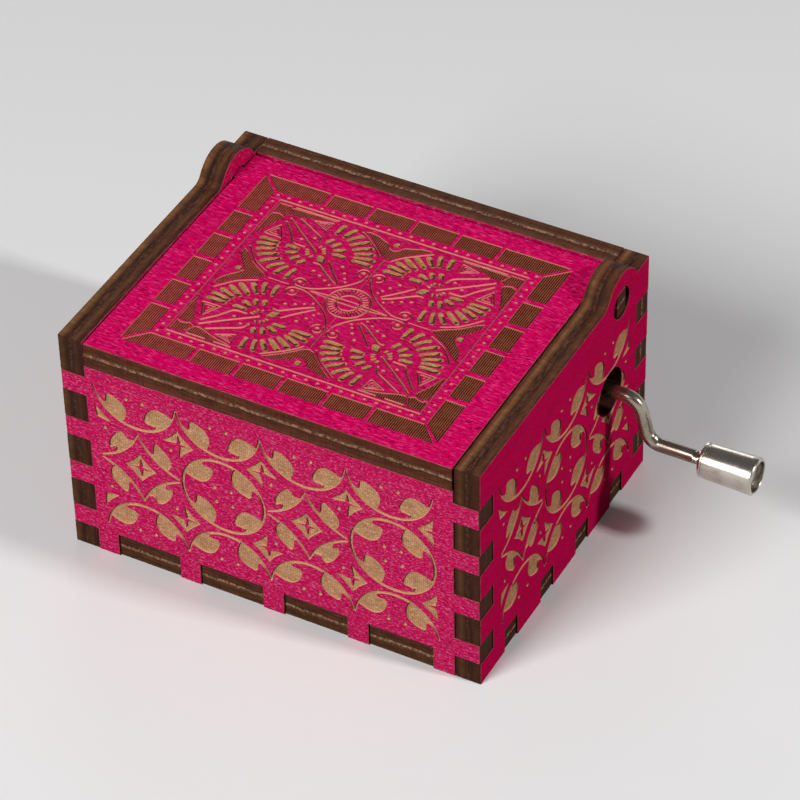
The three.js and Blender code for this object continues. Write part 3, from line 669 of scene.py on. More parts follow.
@dataclass(frozen=True)
class CharredPly(Finish):
    """Wood that the laser has browned, with a painted highlight: paler where it faces the given way, from
    which the light comes.
    """

    char: Tone = (150, 92, 66)
    brown: Tone = (226, 178, 144)
    # Pale tone and way of a painted highlight on the faces that turn towards the light.
    pale: Tone | None = None
    facing: Triple = (0.0, 0.0, 1.0)
    drift: Tone | None = None

    DRIFT_SPAN: ClassVar[Point] = (-20.0, 24.0)
    HIGHLIGHT_SPAN: ClassVar[Point] = (0.1, 0.6)

    def dress(self, canvas: Canvas, place: Socket) -> Skin:
        """Vary the brown with patches and fibres and from the left to the right of the lid, and paint a
        highlight on the faces that turn towards the light.

        Args:
            canvas: The material's canvas.
            place: The place on the piece.

        Returns:
            The finish for the shader.
        """
        grain = WoodGrain().place(canvas, vector=place, length=0.8, width=0.2)
        marks = Blotches().place(canvas, vector=place, size=1.4, speck=0.25)
        share = canvas.weighed((grain["Fibre"], 0.6), (marks["Patch"], 0.4))
        tone = canvas.mix(share, linear(self.char), linear(self.brown))
        if self.drift:
            right = canvas.ramp(canvas.split(place)[0], *self.DRIFT_SPAN)
            tone = canvas.mix(right, tone, linear(self.drift), "MULTIPLY")
        # Painted highlight: faces that turn towards the light's way take the pale tone.
        if self.pale:
            sockets = {0: canvas.add("TexCoord").outputs["Normal"], 1: self.facing}
            along = canvas.add("VectorMath", sockets, operation="DOT_PRODUCT").outputs["Value"]
            tone = canvas.mix(canvas.ramp(along, *self.HIGHLIGHT_SPAN), tone, linear(self.pale))
        rough = canvas.math("MULTIPLY_ADD", marks["Patch"], -0.1, 0.88)
        return Skin(tone, rough, grain["Fibre"], strength=0.4, height=0.03, specular=0.1)


@dataclass(frozen=True)
class CutEdge(Finish):
    """The laser cut edge of a sheet: brown plies with a seam between them.

    The outer face is at the place "outer" along the third axis, and "outward" is the sign of
    the way out of the sheet there.
    """

    outer: float = 0.0
    outward: int = 1
    thickness: float = 3.8
    plies: Stops = ()
    seam: Tone = (180, 138, 106)
    glue: Tone = (40, 20, 15)
    scorch: Tone = (50, 26, 18)
    streak: Tone = (126, 78, 50)
    stria: Tone = (44, 22, 16)
    end_grain: Tone = (50, 27, 20)
    seam_share: float = 0.6

    END_SPAN: ClassVar[Point] = (0.4, 0.9)

    def dress(self, canvas: Canvas, place: Socket) -> Skin:
        """Colour the plies and the seam by their depth in the sheet.

        Args:
            canvas: The material's canvas.
            place: The place on the piece.

        Returns:
            The finish for the shader.
        """
        below = canvas.math("SUBTRACT", self.outer, canvas.split(place)[2])
        depth = canvas.math("MULTIPLY", below, self.outward / self.thickness)
        layers = PlyLayers().place(canvas, vector=place, depth=depth)
        normal = canvas.split(canvas.add("TexCoord").outputs["Normal"])
        along = canvas.ramp(canvas.math("ABSOLUTE", normal[self.axes[0].value]), *self.END_SPAN)
        tone = canvas.tinted(
            canvas.gradient(depth, self.plies),
            (layers["Scorch"], 0.45, self.scorch),
            (layers["Streak"], 0.5, self.streak),
            (along, 0.55, self.end_grain),
            (layers["Stria"], 0.24, self.stria),
            (layers["Glue"], self.seam_share, self.glue),
            (layers["Seam"], self.seam_share, self.seam),
        )
        rough = canvas.math("MULTIPLY_ADD", layers["Streak"], 0.15, 0.7)
        relief = canvas.math("MULTIPLY_ADD", layers["Seam"], 0.6, layers["Stria"])
        return Skin(tone, rough, relief, strength=0.6, height=0.06, specular=0.08)


@dataclass(frozen=True)
class Metal(Finish):
    """A metal with fine marks, smears and a plating or casting skin."""

    shine: Tone = (206, 201, 192)
    dull: Tone = (172, 164, 152)
    pit: Tone = (60, 52, 46)
    rough: float = 0.2
    rough_span: float = 0.16
    stretch: Triple = (0.4, 5.0, 5.0)
    relief: float = 0.006
    pits: float = 0.0

    def dress(self, canvas: Canvas, place: Socket) -> Skin:
        """Vary tone and gloss along the marks.

        Args:
            canvas: The material's canvas.
            place: The place on the piece.

        Returns:
            The finish for the shader.
        """
        marks = ToolMarks().place(canvas, vector=place, stretch=self.stretch)
        specks = Blotches().place(canvas, vector=place, size=1.8, speck=0.3)["Specks"]
        layers = (marks["Smear"], 0.6, self.dull), (specks, self.pits, self.pit)
        tone = canvas.tinted(linear(self.shine), *layers)
        worn = canvas.weighed((marks["Smear"], 0.6), (marks["Mark"], 0.4))
        rough = canvas.math("MULTIPLY_ADD", worn, self.rough_span, self.rough)
        relief = canvas.math("MULTIPLY_ADD", specks, -2.0 * self.pits, marks["Mark"])
        return Skin(tone, rough, relief, strength=0.5, height=self.relief, metallic=1.0)


@dataclass(frozen=True)
class Plastic(Finish):
    """Moulded plastic with a faint sheen and handling marks."""

    body: Tone = (34, 33, 34)
    worn: Tone = (58, 56, 55)

    def dress(self, canvas: Canvas, place: Socket) -> Skin:
        """Vary tone and gloss in patches.

        Args:
            canvas: The material's canvas.
            place: The place on the piece.

        Returns:
            The finish for the shader.
        """
        marks = Blotches().place(canvas, vector=place, size=3.0, speck=0.3)
        share = canvas.weighed((marks["Specks"], 0.3), (marks["Patch"], 0.4))
        tone = canvas.mix(share, linear(self.body), linear(self.worn))
        rough = canvas.math("MULTIPLY_ADD", marks["Patch"], 0.15, 0.36)
        return Skin(tone, rough, marks["Specks"], strength=0.3, height=0.01)


class Layer(Enum):
    """How deep a part of the artwork is cut, in millimetres below the painted face.

    A slope runs down from the depth of its outline to a spine inside it.
    """

    SURFACE = 0.0
    SLOPE = 0.001
    HATCH = 0.13
    GROOVE = 0.22
    LINE = 0.21
    SPINE = 0.14


def arc(
    centre: Point, radius: float, start: float, end: float, steps: int = 16, squash: float = 1.0
) -> list[Point]:
    """Points on an arc.

    Args:
        centre: Its centre.
        radius: Its radius.
        start: First angle in degrees.
        end: Last angle in degrees.
        steps: Number of stretches.
        squash: Its height as a share of its width.

    Returns:
        The points from start to end.
    """
    angles = (math.radians(start + (end - start) * i / steps) for i in range(steps + 1))
    return [(centre[0] + radius * math.cos(a), centre[1] + squash * radius * math.sin(a)) for a in angles]


def smooth(points: Sequence[Point], steps: int = 4, closed: bool = False) -> list[Point]:
    """A curve through the given points.

    Args:
        points: Points that the curve passes.
        steps: Number of stretches between two of them.
        closed: Whether the curve returns to its first point.

    Returns:
        The curve's points.
    """
    count = len(points)
    curve: list[Point] = []
    for i in range(count if closed else count - 1):
        around = range(i - 1, i + 3)
        parts = [points[k % count if closed else min(max(k, 0), count - 1)] for k in around]
        for step in range(steps):
            t = step / steps
            blend = (
                -0.5 * t + t * t - 0.5 * t**3,
                1 - 2.5 * t * t + 1.5 * t**3,
                0.5 * t + 2 * t * t - 1.5 * t**3,
                -0.5 * t * t + 0.5 * t**3,
            )
            curve.append(tuple(sum(b * p[axis] for b, p in zip(blend, parts)) for axis in (0, 1)))
    if not closed:
        curve.append(tuple(points[-1]))
    return curve


def area(points: Sequence[Point]) -> float:
    """Signed area of a closed outline, positive when it runs anticlockwise."""
    turned = zip(points, [*points[1:], points[0]])
    return 0.5 * sum(a[0] * b[1] - b[0] * a[1] for a, b in turned)


def shifted(points: Iterable[Point], centre: Point) -> list[Point]:
    """Move points by the place of a centre."""
    return [(centre[0] + x, centre[1] + y) for x, y in points]


def mean(outline: Sequence[Point]) -> Point:
    """The mean of an outline's points."""
    return tuple(sum(point[axis] for point in outline) / len(outline) for axis in (0, 1))


def shrunk(outline: Sequence[Point], share: float) -> list[Point]:
    """Shrink an outline about its mean to a share of its size."""
    middle = mean(outline)
    return [tuple(m + share * (p - m) for p, m in zip(point, middle)) for point in outline]


def ribbon(path: Sequence[Point], width: float, tips: float | None = None) -> list[Point]:
    """Outline of a line of the given width along a path.

    Args:
        path: The line's middle.
        width: Its width.
        tips: Width at both ends, where it tapers over its first and last quarter.

    Returns:
        The closed outline.
    """
    left: list[Point] = []
    right: list[Point] = []
    last = len(path) - 1
    for i, here in enumerate(path):
        before = Vector(path[max(i - 1, 0)])
        after = Vector(path[min(i + 1, last)])
        into = (Vector(here) - before).normalized() if i else (after - Vector(here)).normalized()
        out = (after - Vector(here)).normalized() if i < last else into
        normal = Vector((-(into + out).y, (into + out).x)).normalized()
        reach = 1 / max(normal.dot(Vector((-out.y, out.x))), 0.7)
        full = min(1.0, 4 * i / last, 4 * (last - i) / last)
        half = 0.5 * (width if tips is None else tips + (width - tips) * full) * reach
        left.append((here[0] + normal.x * half, here[1] + normal.y * half))
        right.append((here[0] - normal.x * half, here[1] - normal.y * half))
    return left + right[::-1]


@dataclass
class Artwork:
    """Flat outlines in millimetres, each with the layer that it is cut to. Later ones win."""

    cuts: list[tuple[list[Point], Layer]] = field(default_factory=list)

    BEAD: ClassVar[tuple[Point, ...]] = (
        (0.0, 0.2), (0.08, 0.34), (0.35, 0.47), (0.7, 0.5), (0.9, 0.42), (0.98, 0.22),
    )
    GROOVE_SHARE: ClassVar[float] = 0.5

    def cut(self, outline: Iterable[Point], layer: Layer = Layer.LINE) -> None:
        """Add a closed outline, turned anticlockwise.

        Args:
            outline: Its points.
            layer: Depth that it is cut to.
        """
        points = [tuple(point) for point in outline]
        self.cuts.append((points if area(points) > 0 else points[::-1], layer))

    def line(self, path: Sequence[Point], width: float, tips: float | None = None) -> None:
        """Add a line along a path."""
        self.cut(ribbon(path, width, tips))

    def dot(self, centre: Point, radius: float, steps: int = 10) -> None:
        """Add a round dot."""
        self.cut(arc(centre, radius, 0, 360 * (steps - 1) / steps, steps - 1))

    def ring(self, centre: Point, radius: float, width: float, steps: int = 24, squash: float = 1.0) -> None:
        """Add a ring as two half lines that overlap a little.

        Args:
            centre: The ring's centre.
            radius: Radius of its middle.
            width: Width of the line.
            steps: Number of stretches in half of it.
            squash: Its height as a share of its width.
        """
        for start in (0, 180):
            self.line(arc(centre, radius, start, start + 181, steps, squash), width)

    def bead(self, start: Point, end: Point, width: float) -> None:
        """Carve a long bead whose two slopes meet in a spine.

        Args:
            start: The narrow end.
            end: The round end.
            width: Greatest width.
        """
        way = Vector(end) - Vector(start)
        side = Vector((-way.y, way.x)).normalized()
        left, right = (
            [tuple(Vector(start) + way * along + side * sign * width * half) for along, half in self.BEAD]
            for sign in (1, -1)
        )
        self.cut(left + [tuple(end)] + right[::-1], Layer.SLOPE)
        spine = [tuple(Vector(start) + way * along) for along in (0.3, 0.5, 0.7)]
        self.cut(ribbon(spine, 0.08 * width), Layer.SPINE)

    def dish(self, outline: Sequence[Point]) -> None:
        """Carve a shallow dish with sloping sides below an outline."""
        self.cut(outline, Layer.SLOPE)
        self.cut(shrunk(outline, 0.5), Layer.SPINE)

    def merge(self, other: "Artwork", place: Callable[[Point], Point]) -> None:
        """Add another artwork moved by a function.

        Args:
            other: The artwork that is added.
            place: Gives the new place of each of its points.
        """
        for outline, layer in other.cuts:
            self.cut([place(point) for point in outline], layer)

    def hatch(self, outline: Sequence[Point], pitch: float) -> None:
        """Add a hatched area: its ridges stand, and the grooves between them are cut deeper.

        Args:
            outline: The area's outline.
            pitch: Distance from line to line.
        """
        self.cut(outline, Layer.HATCH)
        low = min(point[0] for point in outline)
        high = max(point[0] for point in outline)
        edges = list(zip(outline, [*outline[1:], outline[0]]))
        half = pitch * self.GROOVE_SHARE / 2
        for i in range(math.ceil(low / pitch), math.floor(high / pitch) + 1):
            x = i * pitch + pitch / 7
            crossed = sorted(
                a[1] + (b[1] - a[1]) * (x - a[0]) / (b[0] - a[0])
                for a, b in edges
                if (a[0] - x) * (b[0] - x) < 0
            )
            for bottom, top in zip(crossed[::2], crossed[1::2]):
                bottom, top = bottom - pitch, top + pitch
                corners = ((x - half, bottom), (x + half, bottom), (x + half, top), (x - half, top))
                self.cut(corners, Layer.GROOVE)


def quarter_turn(point: Point, turns: int) -> Point:
    """Turn a point about the origin.

    Args:
        point: The point.
        turns: Number of quarter turns, anticlockwise.

    Returns:
        The turned point.
    """
    for _ in range(turns % 4):
        point = (-point[1], point[0])
    return point


@dataclass
class VineArtwork(Artwork):
    """A trellis of vine rings and stars, as on the case's sides."""

    columns: Columns = ()
    middle: float = 18.3
    pitch: float = 13.4
    width_pitch: float = 13.05
    radius: float = 6.35
    squash: float = 0.965
    row_radius: float = 6.5
    row_shift: float = 13.55
    row_leaves: float = 13.1
    stroke: float = 0.46
    tip: float = 0.28
    star_arc: tuple[float, float, float] = (9.4, 9.9, 10.2)
    lean: float = 0.03
    diamond_size: float = 2.4

    LEAF_DOT: ClassVar[Point] = (-1.3, 1.25)
    LEAF: ClassVar[tuple[Point, ...]] = (
        (-2.85, 5.1), (-2.95, 4.75), (-2.3, 4.55), (-1.7, 4.5), (-1.35, 4.1), (-1.45, 3.5), (-1.85, 2.6),
        (-2.45, 1.9), (-3.35, 1.45), (-4.4, 1.55), (-5.2, 1.85),
    )
    BROAD_LEAF: ClassVar[tuple[Point, ...]] = (
        (1.75, 3.15), (2.15, 3.45), (2.3, 3.95), (2.35, 4.65), (2.6, 5.25), (3.0, 5.4), (3.6, 4.95),
        (4.4, 4.2), (4.95, 3.4), (5.1, 2.65), (4.95, 1.95), (4.5, 1.3), (4.2, 0.95),
    )
    HOOKED_LEAF: ClassVar[tuple[Point, ...]] = (
        (1.0, 4.65), (1.4, 4.6), (1.8, 4.7), (2.1, 5.25), (2.6, 5.55), (3.2, 5.25), (3.8, 4.65),
        (4.3, 3.95), (4.7, 3.15), (4.8, 2.45), (4.65, 2.05), (4.3, 2.15), (3.9, 2.45), (3.7, 2.15),
        (3.9, 1.75), (4.1, 1.35),
    )

    def leaves(self, centre: Point, quarters: Iterable[int]) -> None:
        """Cut a ring's leaves with a dot beside each.

        Args:
            centre: The ring's centre.
            quarters: Turns of the upper left leaf that are drawn.
        """
        leaf = arc((0, 0), self.radius, 159, 112, 6, self.squash) + smooth(self.LEAF, 3)
        for turns in quarters:
            dot, *turned = shifted((quarter_turn(point, turns) for point in [self.LEAF_DOT, *leaf]), centre)
            self.cut(turned)
            self.dot(dot, 0.31)

    def star(self, centre: Point) -> None:
        """Cut a star of four arcs, with the leaves outside them and a diamond in its middle.

        Args:
            centre: The star's centre.
        """
        x, y, radius = self.star_arc
        shapes = ((self.BROAD_LEAF, 239, 222), (self.HOOKED_LEAF, 238, 212))
        for side in (-1, 1):
            for up in (-1, 1):
                outline, first, last = shapes[0 if side * up > 0 else 1]
                path = arc((x, y), radius, 202.5, 251.7, 14)
                leaf = smooth(outline, 3) + arc((x, y), radius, first, last, 3)
                path, leaf = (shifted(((side * u, up * v) for u, v in line), centre) for line in (path, leaf))
                self.line(path, self.stroke, self.tip)
                self.cut(leaf)
        self.diamond(centre, range(4))

    def diamond(self, centre: Point, quarters: Iterable[int]) -> None:
        """Cut quarters of a diamond and leave a thin cross standing in it.

        Args:
            centre: The diamond's centre.
            quarters: Quarters that are cut, anticlockwise from the upper right.
        """
        reach, belly, arm, waist = (share * self.diamond_size for share in (1.0, 0.46, 0.62, 0.1))
        for quarter in quarters:
            corners = ((0, 0), (reach, 0), (belly, belly), (0, reach))
            self.cut(shifted((quarter_turn(point, quarter) for point in corners), centre))
        cross = (quarter_turn(point, turn) for turn in range(4) for point in ((arm, 0), (waist, waist)))
        self.cut(shifted(cross, centre), Layer.SURFACE)

    def draw(self) -> "VineArtwork":
        """Cut the whole trellis.

        Returns:
            This artwork.
        """
        for column, is_star in self.columns:
            for up, start, quarters in ((1, 188, (1, 2)), (-1, 8, (0, 3))):
                centre = (column, self.middle + up * self.row_shift)
                self.line(arc(centre, self.row_radius, start, start + 164, 28), self.stroke, self.tip)
                self.leaves((column, self.middle + up * self.row_leaves), quarters)
            if is_star:
                self.star((column, self.middle))
            else:
                self.ring((column, self.middle), self.radius, self.stroke, 28, self.squash)
                self.leaves((column, self.middle), range(4))
        self.corners()
        for i, (outline, layer) in enumerate(self.cuts):
            self.cuts[i] = ([(x + self.lean * (self.middle - z), z) for x, z in outline], layer)
        return self

    def corners(self) -> None:
        """Cut the small diamonds where four cells meet, with a dot where a star is near."""
        half = self.width_pitch / 2
        first = self.columns[0][0] - half
        for i in range(len(self.columns) + 1):
            x = first + 2 * half * i
            beside = {-1: i > 0 and self.columns[i - 1], 1: i < len(self.columns) and self.columns[i]}
            for up in (-1, 1):
                z = self.middle - up * self.pitch / 2
                quarters = []
                for side, level, quarter in ((1, 1, 0), (-1, 1, 1), (-1, -1, 2), (1, -1, 3)):
                    cell = beside[side]
                    if not cell:
                        continue
                    if level == up and cell[1]:
                        self.dot((x + 1.3 * side, z + 1.4 * level), 0.3)
                    else:
                        quarters.append(quarter)
                self.diamond((x, z), quarters)


@dataclass
class LidCorner(Artwork):
    """The upper right quarter of the lid's ornament, about the ornament's middle."""

    hatch_pitch: float = 0.32
    fan_middle: Point = (9.4, 7.9)
    curl_radius: float = 0.84

    WEDGE: ClassVar[tuple[Point, ...]] = (
        (9.9, 15.1), (16.5, 15.1), (16.85, 14.8), (16.5, 14.1), (16.1, 13.5), (15.0, 13.6), (13.5, 14.15),
        (12.0, 14.6),
    )
    SQUARE: ClassVar[tuple[Point, ...]] = (
        (17.15, 15.35), (19.15, 15.35), (19.15, 13.2), (18.5, 13.55), (17.8, 13.45), (17.2, 13.15),
        (16.4, 13.5), (16.75, 14.3),
    )
    SIDE_WEDGE: ClassVar[tuple[Point, ...]] = (
        (17.0, 12.5), (17.5, 13.0), (18.2, 13.2), (18.8, 13.0), (19.15, 12.5), (19.15, 9.0), (18.95, 7.9),
        (18.6, 8.8), (18.1, 10.2), (17.5, 11.5),
    )
    PETALS: ClassVar[tuple[tuple[Point, Point], ...]] = (
        ((8.75, 12.4), (8.4, 15.0)), ((7.5, 12.3), (6.55, 14.8)), ((6.75, 11.95), (4.95, 13.95)),
        ((5.95, 11.25), (3.35, 13.2)), ((5.1, 10.5), (2.4, 12.1)), ((4.4, 9.8), (1.6, 10.95)),
        ((4.15, 9.1), (0.95, 9.7)), ((4.05, 8.4), (0.8, 8.45)), ((9.05, 10.2), (8.3, 11.4)),
        ((7.95, 9.75), (7.0, 11.0)), ((7.4, 9.15), (5.7, 9.95)), ((7.1, 8.45), (4.95, 8.45)),
    )
    TICKS: ClassVar[tuple[tuple[Point, Point], ...]] = (
        ((9.5, 8.8), (9.15, 9.4)), ((8.95, 8.6), (8.4, 9.2)), ((8.65, 8.3), (8.1, 8.65)),
        ((8.5, 8.0), (7.85, 8.1)),
    )
    RAYS: ClassVar[tuple[tuple[Point, ...], ...]] = (
        ((14.8, 13.45), (12.15, 12.0), (11.0, 11.4), (10.35, 10.95), (10.05, 10.45), (9.9, 9.8)),
        ((16.1, 12.95), (13.15, 10.65), (10.15, 8.45), (9.3, 7.8)),
        ((16.3, 12.1), (15.4, 11.1), (14.5, 10.1), (13.8, 9.1), (13.35, 8.45), (12.75, 8.15), (11.2, 8.15)),
    )
    STEMS: ClassVar[tuple[tuple[Point, ...], ...]] = (
        ((6.75, 6.9), (5.95, 5.95), (5.05, 4.95), (4.05, 3.95), (3.25, 3.15)),
        ((8.6, 5.6), (7.8, 5.65), (6.85, 5.05), (5.6, 4.1), (4.35, 3.25), (3.55, 2.85)),
    )
    SEED: ClassVar[tuple[Point, ...]] = (
        (7.2, 6.0), (7.2, 6.6), (7.6, 7.2), (8.2, 7.45), (8.65, 7.3), (8.5, 6.55), (8.1, 6.05),
    )
    BERRIES: ClassVar[tuple[tuple[Point, ...], ...]] = (
        ((4.45, 6.55), (3.55, 5.4), (2.95, 4.4), (2.55, 3.75)),
        ((7.6, 4.0), (6.35, 3.45), (5.25, 2.85), (4.2, 2.25)),
    )
    SCROLL: ClassVar[tuple[Point, ...]] = (
        (0.5, 5.6), (0.75, 4.9), (1.2, 4.2), (1.8, 3.45), (2.5, 2.75), (3.3, 2.1), (4.2, 1.5),
        (5.2, 0.9), (6.2, 0.45), (7.2, 0.22),
    )
    CURLS: ClassVar[tuple[Point, Point]] = ((1.2, 6.6), (8.15, 1.1))
    TRIANGLES: ClassVar[tuple[tuple[Point, Point, Point], ...]] = (
        ((15.1, 8.4), (17.95, 8.45), (16.6, 11.05)), ((10.15, 14.55), (10.4, 12.65), (12.9, 13.85)),
    )

    def draw(self) -> "LidCorner":
        """Cut the whole quarter.

        Returns:
            This artwork.
        """
        for part in (self.wedges, self.rays, self.fans, self.stems, self.scrolls):
            part()
        return self

    def wedges(self) -> None:
        """Hatch the corner's two wedges and the small square between them."""
        for outline in (self.WEDGE, self.SIDE_WEDGE):
            self.hatch(smooth(outline, 2, closed=True), self.hatch_pitch)
        self.hatch(self.SQUARE, self.hatch_pitch)
        self.line([(9.7, 15.28), (16.6, 15.28)], 0.28)

    def rays(self) -> None:
        """Cut the three rays from the corner, two dots and two nested triangles."""
        for path in self.RAYS:
            self.line(smooth(path, 3), 0.33)
        for centre in ((10.95, 10.4), (12.5, 9.4)):
            self.dot(centre, 0.29)
        for outline in self.TRIANGLES:
            for share, width in ((1.0, 0.22), (0.54, 0.18)):
                corners = shrunk(outline, share)
                for i, start in enumerate(corners):
                    self.line([start, corners[(i + 1) % 3]], width)
            self.dot(mean(outline), 0.16, 6)

    def fans(self) -> None:
        """Carve the two facing fans of petals, with their short ticks."""
        x, y = self.fan_middle
        for rows, width in ((self.PETALS, 0.86), (self.TICKS, 0.42)):
            for start, end in rows:
                facing = tuple((2 * x - point[0], 2 * y - point[1]) for point in (start, end))
                for first, last in ((start, end), facing):
                    self.bead(first, last, width)

    def stems(self) -> None:
        """Cut the seed, its two stems and the dots beside them."""
        self.dish(smooth(self.SEED, 2, closed=True))
        for path, width in zip(self.STEMS, (0.3, 0.34)):
            self.line(smooth(path, 3), width, 0.22)
        for row in self.BERRIES:
            for centre, radius in zip(row, (0.3, 0.27, 0.24, 0.22)):
                self.dot(centre, radius)

    def scrolls(self) -> None:
        """Cut the curve that ends in a curl at the middle of each side."""
        upper, lower = self.CURLS
        first = arc(upper, self.curl_radius, -90, 215, 20)
        last = arc(lower, self.curl_radius, 268, 570, 20)
        self.line(first + smooth(self.SCROLL, 3) + last, 0.26, 0.2)
        for centre in self.CURLS:
            self.dot(centre, 0.34)


@dataclass
class LidArtwork(Artwork):
    """The lid's ornament: a frame of hatched blocks, dots, fans, scrolls and a round middle."""

    centre: Point = (-0.15, -2.05)
    frame_half: Point = (24.1, 20.35)
    band: float = 3.0
    mitre_gap: float = 0.5
    hatch_pitch: float = 0.32
    dot_half: Point = (20.3, 16.65)
    line_half: Point = (19.45, 15.92)
    ray_count: int = 30
    ray_ends: Point = (1.95, 2.82)

    TOP_WING: ClassVar[tuple[Point, ...]] = (
        (0, 10.8), (0.8, 11.15), (1.4, 11.8), (2.2, 12.55), (3.2, 13.45), (4.2, 14.2), (5.2, 14.9),
        (4.6, 15.15), (3.4, 14.95), (2.4, 14.5), (1.5, 14.2), (1.1, 13.9), (0.7, 13.2), (0, 12.9),
    )
    SIDE_WING: ClassVar[tuple[Point, ...]] = (
        (12.9, 0), (13.6, 0.6), (14.4, 1.1), (15.3, 1.6), (16.2, 2.2), (17.0, 3.0), (17.8, 3.8),
        (18.75, 4.35), (18.6, 3.2), (18.1, 2.3), (17.5, 1.5), (16.9, 0.9), (16.3, 0),
    )
    TOP_STEM: ClassVar[tuple[Point, ...]] = ((0.9, 10.6), (2.1, 12.05), (3.6, 13.25), (5.6, 14.7))
    SIDE_STEM: ClassVar[tuple[Point, ...]] = ((13.4, 1.1), (14.6, 1.7), (16.2, 2.75), (18.2, 5.1))
    SPEAR: ClassVar[tuple[Point, ...]] = ((-5.9, 0.02), (-3.0, 0.3), (0, 0.42), (3.0, 0.3), (5.9, 0.02))

    def draw(self) -> "LidArtwork":
        """Cut the whole ornament.

        Returns:
            This artwork.
        """
        self.block_frame()
        self.dots_and_lines()
        quarter = LidCorner(hatch_pitch=self.hatch_pitch).draw()
        for side in (-1, 1):
            for up in (-1, 1):
                self.merge(quarter, lambda point: self.placed((side * point[0], up * point[1])))
        self.wings()
        self.medallion()
        return self

    def placed(self, point: Point) -> Point:
        """A point about the ornament's middle, moved to the lid."""
        return shifted([point], self.centre)[0]

    def block_frame(self) -> None:
        """Hatch the mitred frame, six blocks on each side."""
        wide, high = self.frame_half
        rows = ((wide, high, 6.25, 0.5, False), (high, wide, 4.9, 0.8, True))
        for reach, outer, block, gap, upright in rows:
            inner = outer - self.band
            first = 2 * block + 1.5 * gap
            bounds = [(-first + i * (block + gap), -first + i * (block + gap) + block) for i in range(4)]
            blocks = [((a, inner), (b, inner), (b, outer), (a, outer)) for a, b in bounds]
            start = first + gap
            short = reach - self.band - self.mitre_gap / 2
            long = reach - self.mitre_gap / 2 - 0.1
            for end in (1, -1):
                corners = ((start, inner), (short, inner), (long, outer), (start, outer))
                blocks.append([(end * u, v) for u, v in corners])
            for block_outline in blocks:
                for sign in (-1, 1):
                    turned = [(sign * v, u) if upright else (u, sign * v) for u, v in block_outline]
                    self.hatch(shifted(turned, self.centre), self.hatch_pitch)

    def dots_and_lines(self) -> None:
        """Cut the row of dots and the rectangle of lines inside the frame."""
        wide, high = self.dot_half
        across, along = 23, 21
        for i in range(across + 1):
            for sign in (-1, 1):
                self.dot(self.placed((-wide + 2 * wide * i / across, sign * high)), 0.27, 9)
        for i in range(1, along):
            for sign in (-1, 1):
                self.dot(self.placed((sign * wide, -high + 2 * high * i / along)), 0.25, 9)
        wide, high = self.line_half
        for sign in (-1, 1):
            self.line([self.placed((-wide, sign * high)), self.placed((wide, sign * high))], 0.3)
            self.line([self.placed((sign * wide, -high)), self.placed((sign * wide, high))], 0.17)

    def wings(self) -> None:
        """Hatch the four winged shapes at the middle of each side, each with a ball."""
        for sign in (-1, 1):
            top = [(x, sign * y) for x, y in self.TOP_WING]
            top += [(-x, y) for x, y in top[-2:0:-1]]
            side = [(sign * x, y) for x, y in self.SIDE_WING]
            side += [(x, -y) for x, y in side[-2:0:-1]]
            for outline in (top, side):
                self.hatch(shifted(outline, self.centre), self.hatch_pitch)
            for ball in ((0, sign * 14.1), (sign * 17.15, 0)):
                self.dish(arc(self.placed(ball), 0.5, 0, 338, 15))
            for thorn in (((0, sign * 10.4), (0, sign * 7.2)), ((sign * 12.5, 0), (sign * 9.2, 0))):
                self.line(shifted(thorn, self.centre), 0.3, 0.16)
            for other in (-1, 1):
                upper = [(other * x, sign * y) for x, y in self.TOP_STEM]
                outer = [(sign * x, other * y) for x, y in self.SIDE_STEM]
                for path in (upper, outer):
                    self.line(shifted(smooth(path), self.centre), 0.26)

    def medallion(self) -> None:
        """Cut the round middle: two rings with rays between, and a spear through it."""
        self.ring(self.centre, 3.15, 0.3, 24)
        self.ring(self.centre, 1.62, 0.26, 16)
        for i in range(self.ray_count):
            angle = FULL_TURN * (i + 0.5) / self.ray_count
            ends = [(reach * math.cos(angle), reach * math.sin(angle)) for reach in self.ray_ends]
            self.line(shifted(ends, self.centre), 0.22)
        for sign in (-1, 1):
            self.line([self.placed((x, sign * y)) for x, y in smooth(self.SPEAR)], 0.24)
            for height, width in ((3.6, 0.4), (5.9, 0.26)):
                start = self.placed((0, sign * (height - 0.1)))
                self.line([start, self.placed((0, sign * (height + 1.9)))], width, 0.12)


class Facing(Enum):
    """The way a sheet's outer face looks, as its axes across, up and outward."""

    FRONT = ((1, 0, 0), (0, 0, 1), (0, -1, 0))
    BACK = ((-1, 0, 0), (0, 0, 1), (0, 1, 0))
    RIGHT = ((0, 1, 0), (0, 0, 1), (1, 0, 0))
    LEFT = ((0, -1, 0), (0, 0, 1), (-1, 0, 0))
    TOP = ((1, 0, 0), (0, 1, 0), (0, 0, 1))
    FLOOR = ((-1, 0, 0), (0, 1, 0), (0, 0, -1))

    def axis(self) -> Axis:
        """The frame's axis that the face looks along."""
        return Axis([abs(share) for share in self.value[2]].index(1))

    def place(self, point: Point, outward: float) -> Vector:
        """A point of the face in the frame.

        Args:
            point: Its place across and up the face.
            outward: Its place along the outward axis.

        Returns:
            The place in the frame, in metres.
        """
        across, up, out = (Vector(axis) for axis in self.value)
        return (across * point[0] + up * point[1] + out * outward) * MM


def link(name: str, data: bpy.types.ID) -> bpy.types.Object:
    """Make an object of some data and show it in the scene.

    Args:
        name: Its name.
        data: Its mesh, camera or lamp.

    Returns:
        The object.
    """
    piece = bpy.data.objects.new(name, data)
    bpy.context.scene.collection.objects.link(piece)
    return piece


def triangulated(points: list[Vector], loops: list[list[int]], tie: float) -> tuple[list[Any], ...]:
    """Split the area inside closed loops into triangles.

    Args:
        points: All points.
        loops: Indices of each loop's points.
        tie: Distance within which points become one.

    Returns:
        The points found and the triangles, and for each of both the given points or loops.
    """
    places, _, faces, sources, _, origins = delaunay_2d_cdt(points, [], loops, INSIDE_ONLY, tie, True)
    return places, faces, sources, origins


